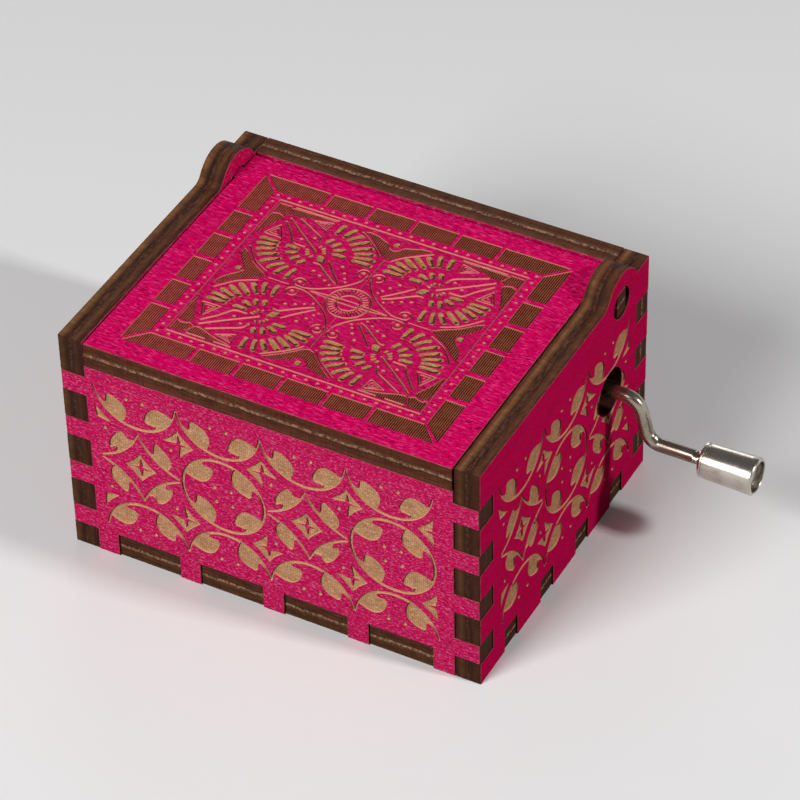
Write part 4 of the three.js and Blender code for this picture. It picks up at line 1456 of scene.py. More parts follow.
def trace(follow: dict[Any, Any]) -> list[list[Any]]:
    """Join steps to closed loops.

    Args:
        follow: For each item, the next one.

    Returns:
        The loops.
    """
    left = dict(follow)
    loops = []
    while left:
        here = next(iter(left))
        loops.append([])
        while here in left:
            loops[-1].append(here)
            here = left.pop(here)
    return loops


def welded(node: str) -> bmesh.types.BMesh:
    """Copy a node's solid with its corners joined.

    Args:
        node: The node.

    Returns:
        The solid, which its user frees.
    """
    solid = bmesh.new()
    solid.from_mesh(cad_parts[node].data)
    bmesh.ops.remove_doubles(solid, verts=solid.verts, dist=WELD)
    return solid


@dataclass
class SheetOutline:
    """The cut shape of one sheet, read from its solid in the frame, in millimetres."""

    facing: Facing
    outer: float
    thickness: float
    loops: list[list[Point]]

    @classmethod
    def of_node(cls, name: str, facing: Facing) -> "SheetOutline":
        """Read the outline and the holes of a node's outer face.

        Args:
            name: The node.
            facing: The way its outer face looks.

        Returns:
            The outline, with the outer loop first.
        """
        across, up, outward = (Vector(axis) for axis in facing.value)
        solid = welded(name)
        reach = [vertex.co.dot(outward) for vertex in solid.verts]
        top = max(reach)
        face_set = {f for f in solid.faces if all(top - v.co.dot(outward) < WELD for v in f.verts)}
        follow: dict[Any, Any] = {}
        for face in face_set:
            for corner in face.loops:
                if sum(linked in face_set for linked in corner.edge.link_faces) == 1:
                    follow[corner.vert] = corner.link_loop_next.vert
        loops = [
            cls.corners([(vertex.co.dot(across) / MM, vertex.co.dot(up) / MM) for vertex in loop])
            for loop in trace(follow)
        ]
        solid.free()
        loops.sort(key=lambda loop: -abs(area(loop)))
        return cls(facing, top / MM, (top - min(reach)) / MM, loops)

    def pull_in(self, across: float, up: float) -> None:
        """Shorten the outline's ends, so that finger ends lie a little below their neighbours.

        Args:
            across: Amount at the left and right ends.
            up: Amount at the upper and lower ends.
        """
        for axis, amount in enumerate((across, up)):
            low = min(point[axis] for point in self.loops[0]) + amount
            high = max(point[axis] for point in self.loops[0]) - amount
            for loop in self.loops:
                for i, point in enumerate(loop):
                    moved = list(point)
                    moved[axis] = min(max(moved[axis], low), high)
                    loop[i] = tuple(moved)

    @staticmethod
    def corners(loop: list[Point]) -> list[Point]:
        """Keep the points of a loop where it turns.

        Args:
            loop: The loop.

        Returns:
            Its corners.
        """
        kept = []
        for i, here in enumerate(loop):
            before, after = Vector(loop[i - 1]), Vector(loop[(i + 1) % len(loop)])
            into = (Vector(here) - before).normalized()
            out = (after - Vector(here)).normalized()
            if abs(into.cross(out)) > 1e-4:
                kept.append(here)
        return kept


class Surface(Enum):
    """The parts of a sheet that have a finish of their own."""

    PAINT = 0
    RIM = 1
    EDGE = 2
    LINE = 3
    HATCH = 4
    GROOVE = 5
    WALL = 6
    INSIDE = 7
    CARVE = 8
    # Slopes that face away from the light, in a dark finish: painted shade.
    SMOKED = 9
    BORE = 10


@dataclass
class EngravedSheet:
    """One plywood sheet as a closed mesh with its artwork cut into the outer face."""

    outline: SheetOutline
    artwork: Artwork
    rim_width: float = 0.09
    rim_depth: float = 0.06
    wall_slope: float = 0.07
    # How far a slope must turn to the shaded side to take the painted shade.
    shade_turn: float = 0.05
    vertices: list[Vector] = field(default_factory=list)
    faces: list[tuple[int, ...]] = field(default_factory=list)
    surfaces: list[int] = field(default_factory=list)
    spine: set[int] = field(default_factory=set)

    # Slopes that face this way get a dark finish: painted shade on the side that turns away from the light.
    SHADE_WAY: ClassVar[Vector] = Vector((-0.8, 0.6, 0.0))
    FLOORS: ClassVar[dict[Layer, Surface]] = {
        Layer.SURFACE: Surface.PAINT,
        Layer.HATCH: Surface.HATCH,
        Layer.LINE: Surface.LINE,
        Layer.GROOVE: Surface.GROOVE,
        Layer.SLOPE: Surface.CARVE,
        Layer.SPINE: Surface.CARVE,
    }

    def face(self, surface: Surface, *corners: int) -> None:
        """Add one face with the finish of a surface."""
        self.faces.append(corners)
        self.surfaces.append(surface.value)

    def vertex(self, point: Point, depth: float) -> int:
        """Add a vertex.

        Args:
            point: Its place on the face.
            depth: Its depth below the outer face.

        Returns:
            The vertex's index.
        """
        self.vertices.append(self.outline.facing.place(point, self.outline.outer - depth))
        return len(self.vertices) - 1

    def triangles(self) -> tuple[list[Point], list[tuple[tuple[int, ...], Layer]]]:
        """Split the outer face along the artwork.

        Returns:
            The points, and each triangle's corners with its layer.
        """
        shapes = [loop if area(loop) > 0 else loop[::-1] for loop in self.outline.loops]
        hole_count = len(shapes)
        shapes += [outline for outline, _ in self.artwork.cuts]
        points: list[Vector] = []
        loops: list[list[int]] = []
        for shape in shapes:
            loops.append(list(range(len(points), len(points) + len(shape))))
            points.extend(Vector(point) for point in shape)
        places, faces, sources, origins = triangulated(points, loops, 1e-5)
        layers = [layer for _, layer in self.artwork.cuts]
        deep = {i for loop, layer in zip(loops[hole_count:], layers) if layer is Layer.SPINE for i in loop}
        self.spine = {i for i, source in enumerate(sources) if not deep.isdisjoint(source)}
        kept = []
        for corners, origin in zip(faces, origins):
            inside = set(origin)
            if 0 not in inside or any(hole in inside for hole in range(1, hole_count)):
                continue
            layer = Layer.SURFACE
            for shape in sorted(i for i in inside if i >= hole_count):
                given = layers[shape - hole_count]
                if given is not Layer.GROOVE or layer is Layer.HATCH:
                    layer = given
            kept.append((tuple(corners), layer))
        return [tuple(place) for place in places], kept

    def depth(self, index: int, layer: Layer) -> float:
        """Depth of a point where it borders a layer.

        Args:
            index: The point.
            layer: The layer.

        Returns:
            The depth in millimetres.
        """
        if layer is Layer.SLOPE:
            layer = Layer.SPINE if index in self.spine else Layer.SURFACE
        return layer.value

    def build(self, name: str, finishes: dict[Surface, Finish]) -> bpy.types.Object:
        """Make the sheet.

        Args:
            name: The object's name.
            finishes: A finish for each surface.

        Returns:
            The object.
        """
        points, triangles = self.triangles()
        borders: dict[tuple[int, int], Layer] = {}
        for corners, layer in triangles:
            for i, corner in enumerate(corners):
                borders[corner, corners[(i + 1) % 3]] = layer
        rim = {a: b for (a, b) in borders if (b, a) not in borders}
        moved = self.inset(points, rim)
        inward = self.wall_feet(points, borders)
        corner_at: dict[tuple[int, float], int] = {}

        def corner(index: int, depth: float) -> int:
            """Give a point's vertex at a depth of the artwork, made once.

            Args:
                index: The point.
                depth: The depth.

            Returns:
                The vertex's index.
            """
            key = (index, depth)
            if key not in corner_at:
                place = moved.get(index, points[index])
                if depth == Layer.LINE.value and index in inward:
                    place = (place[0] + inward[index].x, place[1] + inward[index].y)
                corner_at[key] = self.vertex(place, depth)
            return corner_at[key]

        for corners, layer in triangles:
            ends = [corner(index, self.depth(index, layer)) for index in corners]
            surface = self.FLOORS[layer]
            # Painted shade: slopes that face away from the light take the dark finish.
            if layer is Layer.SLOPE and self.smoked(*(self.vertices[end] for end in ends)):
                surface = Surface.SMOKED
            self.face(surface, *ends)
        for (a, b), layer in borders.items():
            beside = borders.get((b, a), Layer.SURFACE)
            below, above = ([self.depth(index, level) for index in (b, a)] for level in (layer, beside))
            if sum(above) < sum(below):
                wall = Surface.GROOVE if beside is Layer.HATCH else Surface.WALL
                ends = (corner(b, below[0]), corner(a, below[1]), corner(a, above[1]), corner(b, above[0]))
                self.face(wall, *dict.fromkeys(ends))
        self.close(points, rim, moved, {index: corner(index, 0.0) for index in rim})
        return self.object(name, finishes)

    def smoked(self, first: Vector, second: Vector, third: Vector) -> bool:
        """Tell whether a slope, given by three corners, faces away from the light, so that it takes the dark
        finish of painted shade.
        """
        normal = (second - first).cross(third - first).normalized()
        return normal.dot(self.SHADE_WAY) > self.shade_turn

    def wall_feet(self, points: list[Point], borders: dict[tuple[int, int], Layer]) -> dict[int, Vector]:
        """Measure how far the foot of a cut line's wall stands inside the wall's upper edge.

        Args:
            points: All points of the face.
            borders: The layer on the left of each directed edge.

        Returns:
            The shift of each point on such a wall.
        """
        normals: dict[int, list[Vector]] = {}
        for (a, b), layer in borders.items():
            if layer is Layer.LINE and borders.get((b, a)) is not Layer.LINE:
                along = (Vector(points[b]) - Vector(points[a])).normalized()
                for index in (a, b):
                    normals.setdefault(index, []).append(Vector((-along.y, along.x)))
        feet = {}
        for index, found in normals.items():
            total = sum(found, Vector((0, 0)))
            if len(found) == 2 and total.length > 0.9:
                feet[index] = total * (2 * self.wall_slope / total.length_squared)
        return feet

    def inset(self, points: list[Point], rim: dict[int, int]) -> dict[int, Point]:
        """Move the points of the face's edge inward by the rim's width.

        Args:
            points: All points of the face.
            rim: For each point of the edge, the next one.

        Returns:
            The moved points by index.
        """
        before = {b: a for a, b in rim.items()}
        moved = {}
        for index, after in rim.items():
            here = Vector(points[index])
            into = (here - Vector(points[before[index]])).normalized()
            out = (Vector(points[after]) - here).normalized()
            first, second = Vector((-into.y, into.x)), Vector((-out.y, out.x))
            inward = (first + second) / max(1 + first.dot(second), 0.3)
            moved[index] = tuple(here + inward * self.rim_width)
        return moved

    def close(
        self, points: list[Point], rim: dict[int, int], moved: dict[int, Point], top: dict[int, int]
    ) -> None:
        """Add the rubbed rims, the cut edge and the inner face.

        Args:
            points: All points of the face.
            rim: For each point of the edge, the next one.
            moved: The edge's points moved inward.
            top: Vertices of the edge on the outer face.
        """
        depth = self.outline.thickness
        levels = [
            top,
            {i: self.vertex(points[i], self.rim_depth) for i in rim},
            {i: self.vertex(points[i], depth - self.rim_depth) for i in rim},
            {i: self.vertex(moved[i], depth) for i in rim},
        ]
        loops = trace(rim)
        order = [index for loop in loops for index in loop]
        number = {index: i for i, index in enumerate(order)}
        shapes = [[number[index] for index in loop] for loop in loops]
        shapes = [shape if area([points[order[i]] for i in shape]) > 0 else shape[::-1] for shape in shapes]
        largest = max(range(len(shapes)), key=lambda i: abs(area([points[order[k]] for k in shapes[i]])))
        for i, loop in enumerate(loops):
            edge = Surface.EDGE if i == largest else Surface.BORE
            for upper, lower, surface in zip(levels, levels[1:], (Surface.RIM, edge, Surface.RIM)):
                for a in loop:
                    self.face(surface, upper[rim[a]], upper[a], lower[a], lower[rim[a]])
        _, faces, sources, origins = triangulated([Vector(points[index]) for index in order], shapes, 1e-7)
        for corners, origin in zip(faces, origins):
            if set(origin) == {largest}:
                a, b, c = (levels[-1][order[sources[i][0]]] for i in corners)
                self.face(Surface.INSIDE, c, b, a)

    def object(self, name: str, finishes: dict[Surface, Finish]) -> bpy.types.Object:
        """Make the object from the gathered faces.

        Args:
            name: Its name.
            finishes: A finish for each surface.

        Returns:
            The object.
        """
        mesh = bpy.data.meshes.new(name)
        mesh.from_pydata(self.vertices, [], self.faces)
        mesh.polygons.foreach_set("material_index", self.surfaces)
        for surface in Surface:
            mesh.materials.append(finishes[surface].material())
        return link(name, mesh)


def report(piece: bpy.types.Object, body: str, slot: str, *nodes: str) -> None:
    """Attach a finished piece to the empty of its body, hide the nodes that it stands for, and log it.

    Args:
        piece: The piece, in its place.
        body: Body that it rides on.
        slot: Not used.
        nodes: Nodes that it stands for.
    """
    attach(piece, body)
    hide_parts(*nodes)
    LOG.info("%s: %d faces on %s", piece.name, len(piece.data.polygons), body)


def node_box(name: str) -> tuple[Vector, Vector]:
    """Lowest and highest corner of a node in millimetres."""
    low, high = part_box(name)
    return Vector(low) / MM, Vector(high) / MM


def shaded(mesh: bpy.types.Mesh, finish: Finish, sharp: float) -> None:
    """Give a mesh its finish and smooth shading.

    Args:
        mesh: The mesh.
        finish: Its finish.
        sharp: Angle in degrees from which an edge stays sharp.
    """
    mesh.materials.clear()
    mesh.materials.append(finish.material())
    mesh.shade_smooth()
    mesh.set_sharp_from_angle(angle=math.radians(sharp))


def swept(name: str, rings: Sequence[Sequence[Vector]], finish: Finish) -> bpy.types.Object:
    """Make a closed, smooth shaded solid from rings of equal counts.

    Args:
        name: Its name.
        rings: The rings in millimetres, each anticlockwise seen from the last one.
        finish: Its finish.

    Returns:
        The object.
    """
    count = len(rings[0])
    faces: list[tuple[int, ...]] = [tuple(range(count))[::-1]]
    faces.append(tuple((len(rings) - 1) * count + i for i in range(count)))
    for level in range(len(rings) - 1):
        for i in range(count):
            a, b = level * count + i, level * count + (i + 1) % count
            faces.append((a, b, b + count, a + count))
    mesh = bpy.data.meshes.new(name)
    mesh.from_pydata([point * MM for ring in rings for point in ring], [], faces)
    shaded(mesh, finish, 35)
    return link(name, mesh)


def turned(name: str, profile: Sequence[Point], node: str, finish: Finish, steps: int) -> bpy.types.Object:
    """Make a closed turned solid about a node's middle line along X.

    Args:
        name: Its name.
        profile: A closed section as (place along X, radius), clockwise round the section.
        node: The node.
        finish: Its finish.
        steps: Number of stretches round it.

    Returns:
        The object.
    """
    low, high = node_box(node)
    centre = Vector((low.x, (low.y + high.y) / 2, (low.z + high.z) / 2))
    count = len(profile)
    vertices, faces = [], []
    for i in range(steps):
        angle = FULL_TURN * i / steps
        spoke = Vector((0, math.cos(angle), math.sin(angle)))
        vertices += [(centre + Vector((along, 0, 0)) + spoke * radius) * MM for along, radius in profile]
        here, there = i * count, (i + 1) % steps * count
        for k, after in zip(range(count), [*range(1, count), 0]):
            faces.append((here + k, here + after, there + after, there + k))
    mesh = bpy.data.meshes.new(name)
    mesh.from_pydata(vertices, [], faces)
    shaded(mesh, finish, 28)
    return link(name, mesh)


def softened(node: str, finish: Finish, width: float) -> bpy.types.Object:
    """Copy a node's solid with its sharp edges rounded.

    Args:
        node: The node.
        finish: Its finish.
        width: Width of the rounding in millimetres, or 0 for none.

    Returns:
        The object.
    """
    solid = welded(node)
    bmesh.ops.dissolve_limit(solid, angle_limit=math.radians(0.5), verts=solid.verts, edges=solid.edges)
    mesh = bpy.data.meshes.new(node + "_part")
    solid.to_mesh(mesh)
    solid.free()
    piece = link(node + "_part", mesh)
    if width:
        rounding = piece.modifiers.new("rounding", "BEVEL")
        rounding.width = width * MM
        rounding.segments = 2
        rounding.limit_method = "ANGLE"
        rounding.angle_limit = math.radians(38)
        rounding.use_clamp_overlap = True
        evaluated = piece.evaluated_get(bpy.context.evaluated_depsgraph_get())
        made = bpy.data.meshes.new_from_object(evaluated)
        piece.modifiers.clear()
        piece.data = made
    shaded(piece.data, finish, 32)
    return piece


@dataclass(frozen=True)
class SheetLook:
    """How one sheet is dressed."""

    grain: Axis
    flecks: float
    paint: Tone = (208, 0, 88)
    deep: Tone = (170, 0, 66)
    fleck: Tone = (240, 118, 160)
    line: Tone = (226, 174, 128)
    line_toast: Tone = (150, 96, 64)
    # Pale tone that the engraved walls take where they face the light, and that way: a painted highlight.
    wall: Tone = (214, 164, 122)
    highlight_way: Triple = (0.0, 0.0, 1.0)
    plies: Stops = ()
    seam: float = 0.3
    streaks: float = 0.8
    dash: float = 0.6
    crumb: Tone = (242, 206, 154)
    haze: tuple[float, float, float, float] | None = None
    ends: Point = (0.0, 0.0)

    def finishes(self, outline: SheetOutline) -> dict[Surface, Finish]:
        """Choose the finishes of a sheet.

        Args:
            outline: The sheet's outline.

        Returns:
            A finish for each surface.
        """
        through = outline.facing.axis()
        across = next(axis for axis in Axis if axis not in (self.grain, through))
        outward = sum(outline.facing.value[2])
        key = outline.facing.name.lower()
        axes = (self.grain, across, through)
        return {
            Surface.PAINT: PaintedPly(
                f"painted ply {key}", axes, paint=self.paint, deep=self.deep, fleck=self.fleck,
                fleck_share=self.flecks, streaks=self.streaks, dash=self.dash, haze=self.haze,
            ),
            Surface.INSIDE: PaintedPly(f"inner ply {key}", axes, fleck_share=0.4, streaks=0.6),
            Surface.RIM: CharredPly("rubbed rim", char=(124, 36, 48), brown=(176, 92, 88)),
            Surface.EDGE: CutEdge(
                f"cut edge {key}", axes, outer=outward * outline.outer, outward=outward,
                thickness=outline.thickness, plies=self.plies, seam_share=self.seam,
            ),
            # The holes' walls are darker than the other cut edges: burnt wood with painted shade over it.
            Surface.BORE: CharredPly("burnt holes in painted shade", char=(44, 20, 20), brown=(84, 44, 36)),
            Surface.LINE: EngravedPly(
                f"engraved ply {key}", axes, wood=self.line, toast=self.line_toast, pale=self.crumb
            ),
            Surface.HATCH: CharredPly(
                "hatch ridges", char=(148, 62, 54), brown=(184, 86, 72), drift=(218, 255, 205)
            ),
            Surface.GROOVE: CharredPly(
                "hatch grooves", char=(96, 34, 34), brown=(128, 52, 48), drift=(175, 215, 190)
            ),
            # The engraved walls turn pale where they face the light: a painted highlight.
            Surface.WALL: CharredPly(
                f"engraved walls {key}", char=(98, 50, 36), brown=(150, 84, 58),
                pale=self.wall, facing=self.highlight_way,
            ),
            Surface.CARVE: EngravedPly(
                f"carved ply {key}", axes, wood=(184, 134, 82), toast=(126, 80, 48),
                pale=(208, 164, 108), lines=0.4,
            ),
            # Dark finish of the slopes that face away from the light: painted shade.
            Surface.SMOKED: CharredPly("smoked ply", char=(58, 30, 24), brown=(104, 60, 42)),
        }


def dress_sheet(node: str, body: str, facing: Facing, art: Artwork, look: SheetLook) -> None:
    """Build one sheet in the place of its node.

    Args:
        node: The node.
        body: Body that it rides on.
        facing: The way its outer face looks.
        art: Artwork of its outer face.
        look: How it is dressed.
    """
    outline = SheetOutline.of_node(node, facing)
    outline.pull_in(*look.ends)
    sheet = EngravedSheet(outline, art).build(node + "_sheet", look.finishes(outline))
    report(sheet, body, "painted_plywood", node)


@dataclass
class Case:
    """The glued plywood case: four sides and a floor."""

    front_columns: Columns = ((-20.15, True), (-7.1, False), (5.85, True), (18.95, False))
    front_pitch: float = 13.0
    side_columns: Columns = ((-13.2, True), (0.15, False), (13.5, True))
    side_pitch: float = 13.35
    side_middle: float = 18.6
    recess: float = 0.13
    floor_recess: float = 0.27

    FRONT_PLIES: ClassVar[Stops] = (
        (0.0, (92, 50, 38)), (0.2, (80, 44, 34)), (0.5, (66, 36, 28)), (0.8, (84, 48, 36)),
        (1.0, (70, 36, 30)),
    )
    BACK_PLIES: ClassVar[Stops] = (
        (0.0, (86, 54, 38)), (0.16, (82, 51, 36)), (0.27, (70, 40, 27)), (0.38, (88, 58, 44)),
        (0.48, (98, 68, 54)), (0.58, (88, 56, 42)), (0.68, (78, 44, 32)), (0.8, (94, 57, 42)),
        (1.0, (112, 72, 54)),
    )
    LEFT_PLIES: ClassVar[Stops] = (
        (0.0, (104, 66, 44)), (0.1, (140, 98, 58)), (0.2, (120, 80, 50)), (0.32, (56, 31, 23)),
        (0.42, (38, 18, 15)), (0.53, (44, 22, 17)), (0.63, (90, 56, 38)), (0.74, (102, 62, 42)),
        (0.84, (60, 30, 24)), (1.0, (50, 20, 21)),
    )
    RIGHT_PLIES: ClassVar[Stops] = (
        (0.0, (56, 25, 22)), (0.15, (94, 58, 39)), (0.26, (82, 49, 35)), (0.37, (54, 26, 21)),
        (0.47, (42, 19, 16)), (0.58, (52, 24, 19)), (0.68, (112, 73, 45)), (0.79, (144, 99, 60)),
        (0.89, (104, 63, 43)), (1.0, (38, 12, 15)),
    )
    FLOOR_PLIES: ClassVar[Stops] = (
        (0.0, (86, 58, 40)), (0.18, (72, 44, 28)), (0.3, (78, 48, 31)), (0.42, (96, 64, 46)),
        (0.5, (106, 74, 56)), (0.6, (90, 58, 43)), (0.72, (70, 38, 27)), (0.86, (74, 42, 31)),
        (1.0, (98, 48, 44)),
    )

    def side_art(self, mirrored: bool = False) -> VineArtwork:
        """Draw the trellis of the narrow sides.

        Args:
            mirrored: Whether it is the left side's, which mirrors the right one's.

        Returns:
            The artwork.
        """
        drawn = VineArtwork(columns=self.side_columns, width_pitch=self.side_pitch, middle=self.side_middle)
        drawn.draw()
        if mirrored:
            drawn.cuts = [([(-x, z) for x, z in outline][::-1], layer) for outline, layer in drawn.cuts]
        return drawn

    def front_art(self) -> VineArtwork:
        """The trellis of the front and the back."""
        return VineArtwork(columns=self.front_columns, width_pitch=self.front_pitch).draw()

    def build(self) -> None:
        """Build the five sheets of the case."""
        ends = (self.recess, 0.0)
        # The front's paint and flecks are paler and greener than the other sheets': painted sheen on the
        # front.
        front = SheetLook(
            Axis.X, 0.8, paint=(208, 26, 92), deep=(178, 12, 74), fleck=(240, 112, 150), seam=0.1, dash=0.45,
            plies=self.FRONT_PLIES, ends=ends,
        )
        back = SheetLook(
            Axis.X, 0.6, paint=(208, 12, 90), fleck=(238, 96, 144), seam=0.7, plies=self.BACK_PLIES, ends=ends
        )
        side = SheetLook(
            Axis.Y, 0.1, paint=(206, 10, 75), deep=(168, 0, 56), fleck=(214, 60, 110), line=(208, 150, 108),
            seam=0.1, plies=self.RIGHT_PLIES, streaks=0.5, ends=ends,
        )
        floor = SheetLook(
            Axis.X, 0.4, seam=0.9, plies=self.FLOOR_PLIES, ends=(self.floor_recess, self.floor_recess)
        )
        sheets = (
            ("front_panel", Facing.FRONT, self.front_art(), front),
            ("back_panel", Facing.BACK, self.front_art(), back),
            ("right_panel", Facing.RIGHT, self.side_art(), side),
            ("left_panel", Facing.LEFT, self.side_art(mirrored=True), replace(side, plies=self.LEFT_PLIES)),
            ("bottom_panel", Facing.FLOOR, Artwork(), floor),
        )
        for node, facing, art, look in sheets:
            dress_sheet(node, "case", facing, art, look)


@dataclass
class Lid:
    """The engraved lid that turns on two tabs."""

    LID_PLIES: ClassVar[Stops] = (
        (0.0, (120, 62, 54)), (0.08, (98, 48, 35)), (0.3, (84, 42, 29)), (0.4, (100, 62, 46)),
        (0.5, (112, 76, 58)), (0.6, (102, 60, 44)), (0.68, (82, 42, 28)), (0.86, (96, 52, 40)),
        (1.0, (116, 60, 54)),
    )

    # The lid's engraved walls turn pale where they face the front and the right, where the light comes from:
    # a painted highlight.
    look: SheetLook = SheetLook(
        Axis.X, 0.7, fleck=(246, 66, 138), streaks=1.0, dash=1.0, haze=(-0.15, -2.05, 19.6, 16.1), seam=0.85,
        line=(198, 106, 92), line_toast=(160, 68, 68), crumb=(226, 148, 126), wall=(218, 138, 118),
        highlight_way=(0.5, -0.85, 0.0), plies=LID_PLIES,
    )

    def build(self) -> None:
        """Build the lid's sheet."""
        dress_sheet("lid", "lid", Facing.TOP, LidArtwork().draw(), self.look)


@dataclass
class Crank:
    """The bent rod that turns the movement, and the washer that holds its knob."""

    radius: float = 1.0
    reach: float = 4.3
    lean: float = 1.8
    arm_bend: float = 2.6
    knob_bend: float = 2.4
    crease: float = 0.24
    bend_steps: int = 16
    sides: int = 40
    crimp_length: float = 1.2
    # Darker and browner than bare nickel, standing in for the brown wood that the rod reflects: a painted
    # reflection over the nickel's own colour.
    nickel: Metal = Metal(
        "polished nickel", shine=(168, 157, 144), dull=(118, 105, 93), rough=0.22, rough_span=0.14
    )

    CRIMP: ClassVar[tuple[Triple, ...]] = (
        (1.0, 1.0, 1.0), (0.9, 1.04, 0.97), (0.72, 1.17, 0.82), (0.6, 1.1, 0.9), (0.45, 1.16, 0.83),
        (0.25, 1.18, 0.81), (0.08, 1.05, 0.95), (0.0, 1.0, 1.0),
    )
    TIP: ClassVar[tuple[Point, ...]] = ((0.5, 1.0), (0.3, 0.95), (0.14, 0.82), (0.04, 0.6), (0.0, 0.35))

    def bend(self, corner: Vector, before: Vector, after: Vector, radius: float) -> list[Vector]:
        """Points of the arc that rounds a corner of the rod.

        Args:
            corner: The corner.
            before: A point on the leg before it.
            after: A point on the leg after it.
            radius: Radius of the bend.

        Returns:
            The arc's points.
        """
        into, out = (corner - before).normalized(), (after - corner).normalized()
        turn = into.angle(out)
        start = corner - into * radius * math.tan(turn / 2)
        inward = (out - into * out.dot(into)).normalized()
        centre = start + inward * radius
        points = []
        for i in range(self.bend_steps + 1):
            angle = turn * i / self.bend_steps
            way = into * math.sin(angle) - inward * math.cos(angle)
            points.append(centre + way * radius)
        return points

    def stations(self) -> list[tuple[Vector, float, float, float]]:
        """Lay out the rod.

        Returns:
            Its middle points, each with its width, its height and the swelling on the upper side, as shares
            of its radius.
        """
        low, high = node_box("crank_rod")
        knob_start = node_box("knob")[0].x
        y = (low.y + high.y) / 2
        first = Vector((node_box("right_panel")[1].x + self.reach, y, high.z - self.radius))
        second = Vector((first.x + self.lean, y, low.z + self.radius))
        start, tip = Vector((low.x, y, first.z)), Vector((high.x, y, second.z))
        path = [(start, 0.86, 0.86, 0.0), (start + Vector((0.14, 0, 0)), 1.0, 1.0, 0.0)]
        path += [(point, 1.0, 1.0, 0.0) for point in self.bend(first, start, second, self.arm_bend)]
        for i, point in enumerate(self.bend(second, first, tip, self.knob_bend)):
            swelling = self.crease * math.exp(-((4 * i / self.bend_steps - 2) ** 2))
            path.append((point, 1.0 + 0.2 * swelling, 1.0 - 0.2 * swelling, swelling))
        crimp_end = knob_start - 0.3
        for share, wide, tall in self.CRIMP:
            path.append((Vector((crimp_end - share * self.crimp_length, y, second.z)), wide, tall, 0.0))
        for drop, size in self.TIP:
            path.append((tip - Vector((drop, 0, 0)), size, size, 0.0))
        return path

    def build(self) -> None:
        """Build the rod and its washer."""
        stations = self.stations()
        rings = []
        for i, (point, wide, tall, swelling) in enumerate(stations):
            before, after = stations[max(i - 1, 0)][0], stations[min(i + 1, len(stations) - 1)][0]
            way = (after - before).normalized()
            side, up = Vector((0, 1, 0)), Vector((-way.z, 0, way.x))
            ring = []
            for k in range(self.sides):
                angle = FULL_TURN * k / self.sides
                rise = tall * math.sin(angle) + swelling * max(math.sin(angle), 0.0) ** 3
                spread = side * wide * math.cos(angle) + up * rise
                ring.append(point + spread * self.radius)
            rings.append(ring)
        report(swept("crank_bent_rod", rings, self.nickel), "crank", "polished_nickel", "crank_rod")
        low, high = node_box("knob_washer")
        radius, inner, bevel, length = (high.z - low.z) / 2, self.radius + 0.05, 0.07, high.x - low.x
        profile = [(0, inner), (0, radius - bevel), (bevel, radius), (length - bevel, radius)]
        profile += [(length, radius - bevel), (length, inner + bevel), (length - bevel, inner)]
        steel = Metal("zinc plate", shine=(186, 184, 176), dull=(140, 136, 126), rough=0.3)
        washer = turned("knob_plate_washer", profile[::-1], "knob_washer", steel, 48)
        report(washer, "crank", "plated_steel", "knob_washer")


@dataclass
class Knob:
    """The turned sleeve that spins on the crank's end."""

    bore: float = 1.15
    chamfer: float = 0.25
    rim: float = 0.3
    groove_width: float = 0.32
    groove_depth: float = 0.2
    flare: float = 0.2
    lip: float = 0.25
    recess: float = 1.5
    round_off: float = 0.05

    def profile(self, length: float, end: float) -> list[Point]:
        """Draw the sleeve's section: rim, groove, barrel, bevelled end and recess.

        Args:
            length: The sleeve's length.
            end: Its radius at the open end.

        Returns:
            The closed section as (place along X, radius).
        """
        soft, chamfer, radius = self.round_off, self.chamfer, end - self.flare
        hollow, floor = end - chamfer - self.lip, length - self.recess
        groove = chamfer + self.rim
        barrel = groove + self.groove_width + soft
        run = length - chamfer - 0.04 - barrel
        return [
            (0.0, self.bore + soft), (0.0, radius - chamfer - soft), (0.03, radius - chamfer),
            (chamfer - 0.03, radius - 0.02), (chamfer + 0.04, radius), (groove - soft, radius),
            (groove, radius - soft), (groove + soft, radius - self.groove_depth),
            (barrel - 2 * soft, radius - self.groove_depth), (barrel - soft, radius - soft),
            *((barrel + run * i / 8, radius + self.flare * i / 8) for i in range(9)),
            (length - chamfer + 0.02, end - 0.02), (length - 0.03, end - chamfer + 0.02),
            (length, end - chamfer - 0.02), (length, hollow + 0.04), (length - soft, hollow),
            (floor + 0.1, hollow), (floor, hollow - 0.08),
            (floor, self.bore + soft), (floor - soft, self.bore), (soft, self.bore),
        ]

    def build(self) -> None:
        """Build the sleeve."""
        low, high = node_box("knob")
        profile = self.profile(high.x - low.x, (high.z - low.z) / 2)
        nickel = Metal(
            "turned nickel", shine=(194, 187, 177), dull=(160, 150, 138), rough_span=0.12,
            stretch=(5.0, 0.3, 0.3), relief=0.0015,
        )
        report(turned("knob_sleeve", profile[::-1], "knob", nickel, 96), "knob", "polished_nickel", "knob")


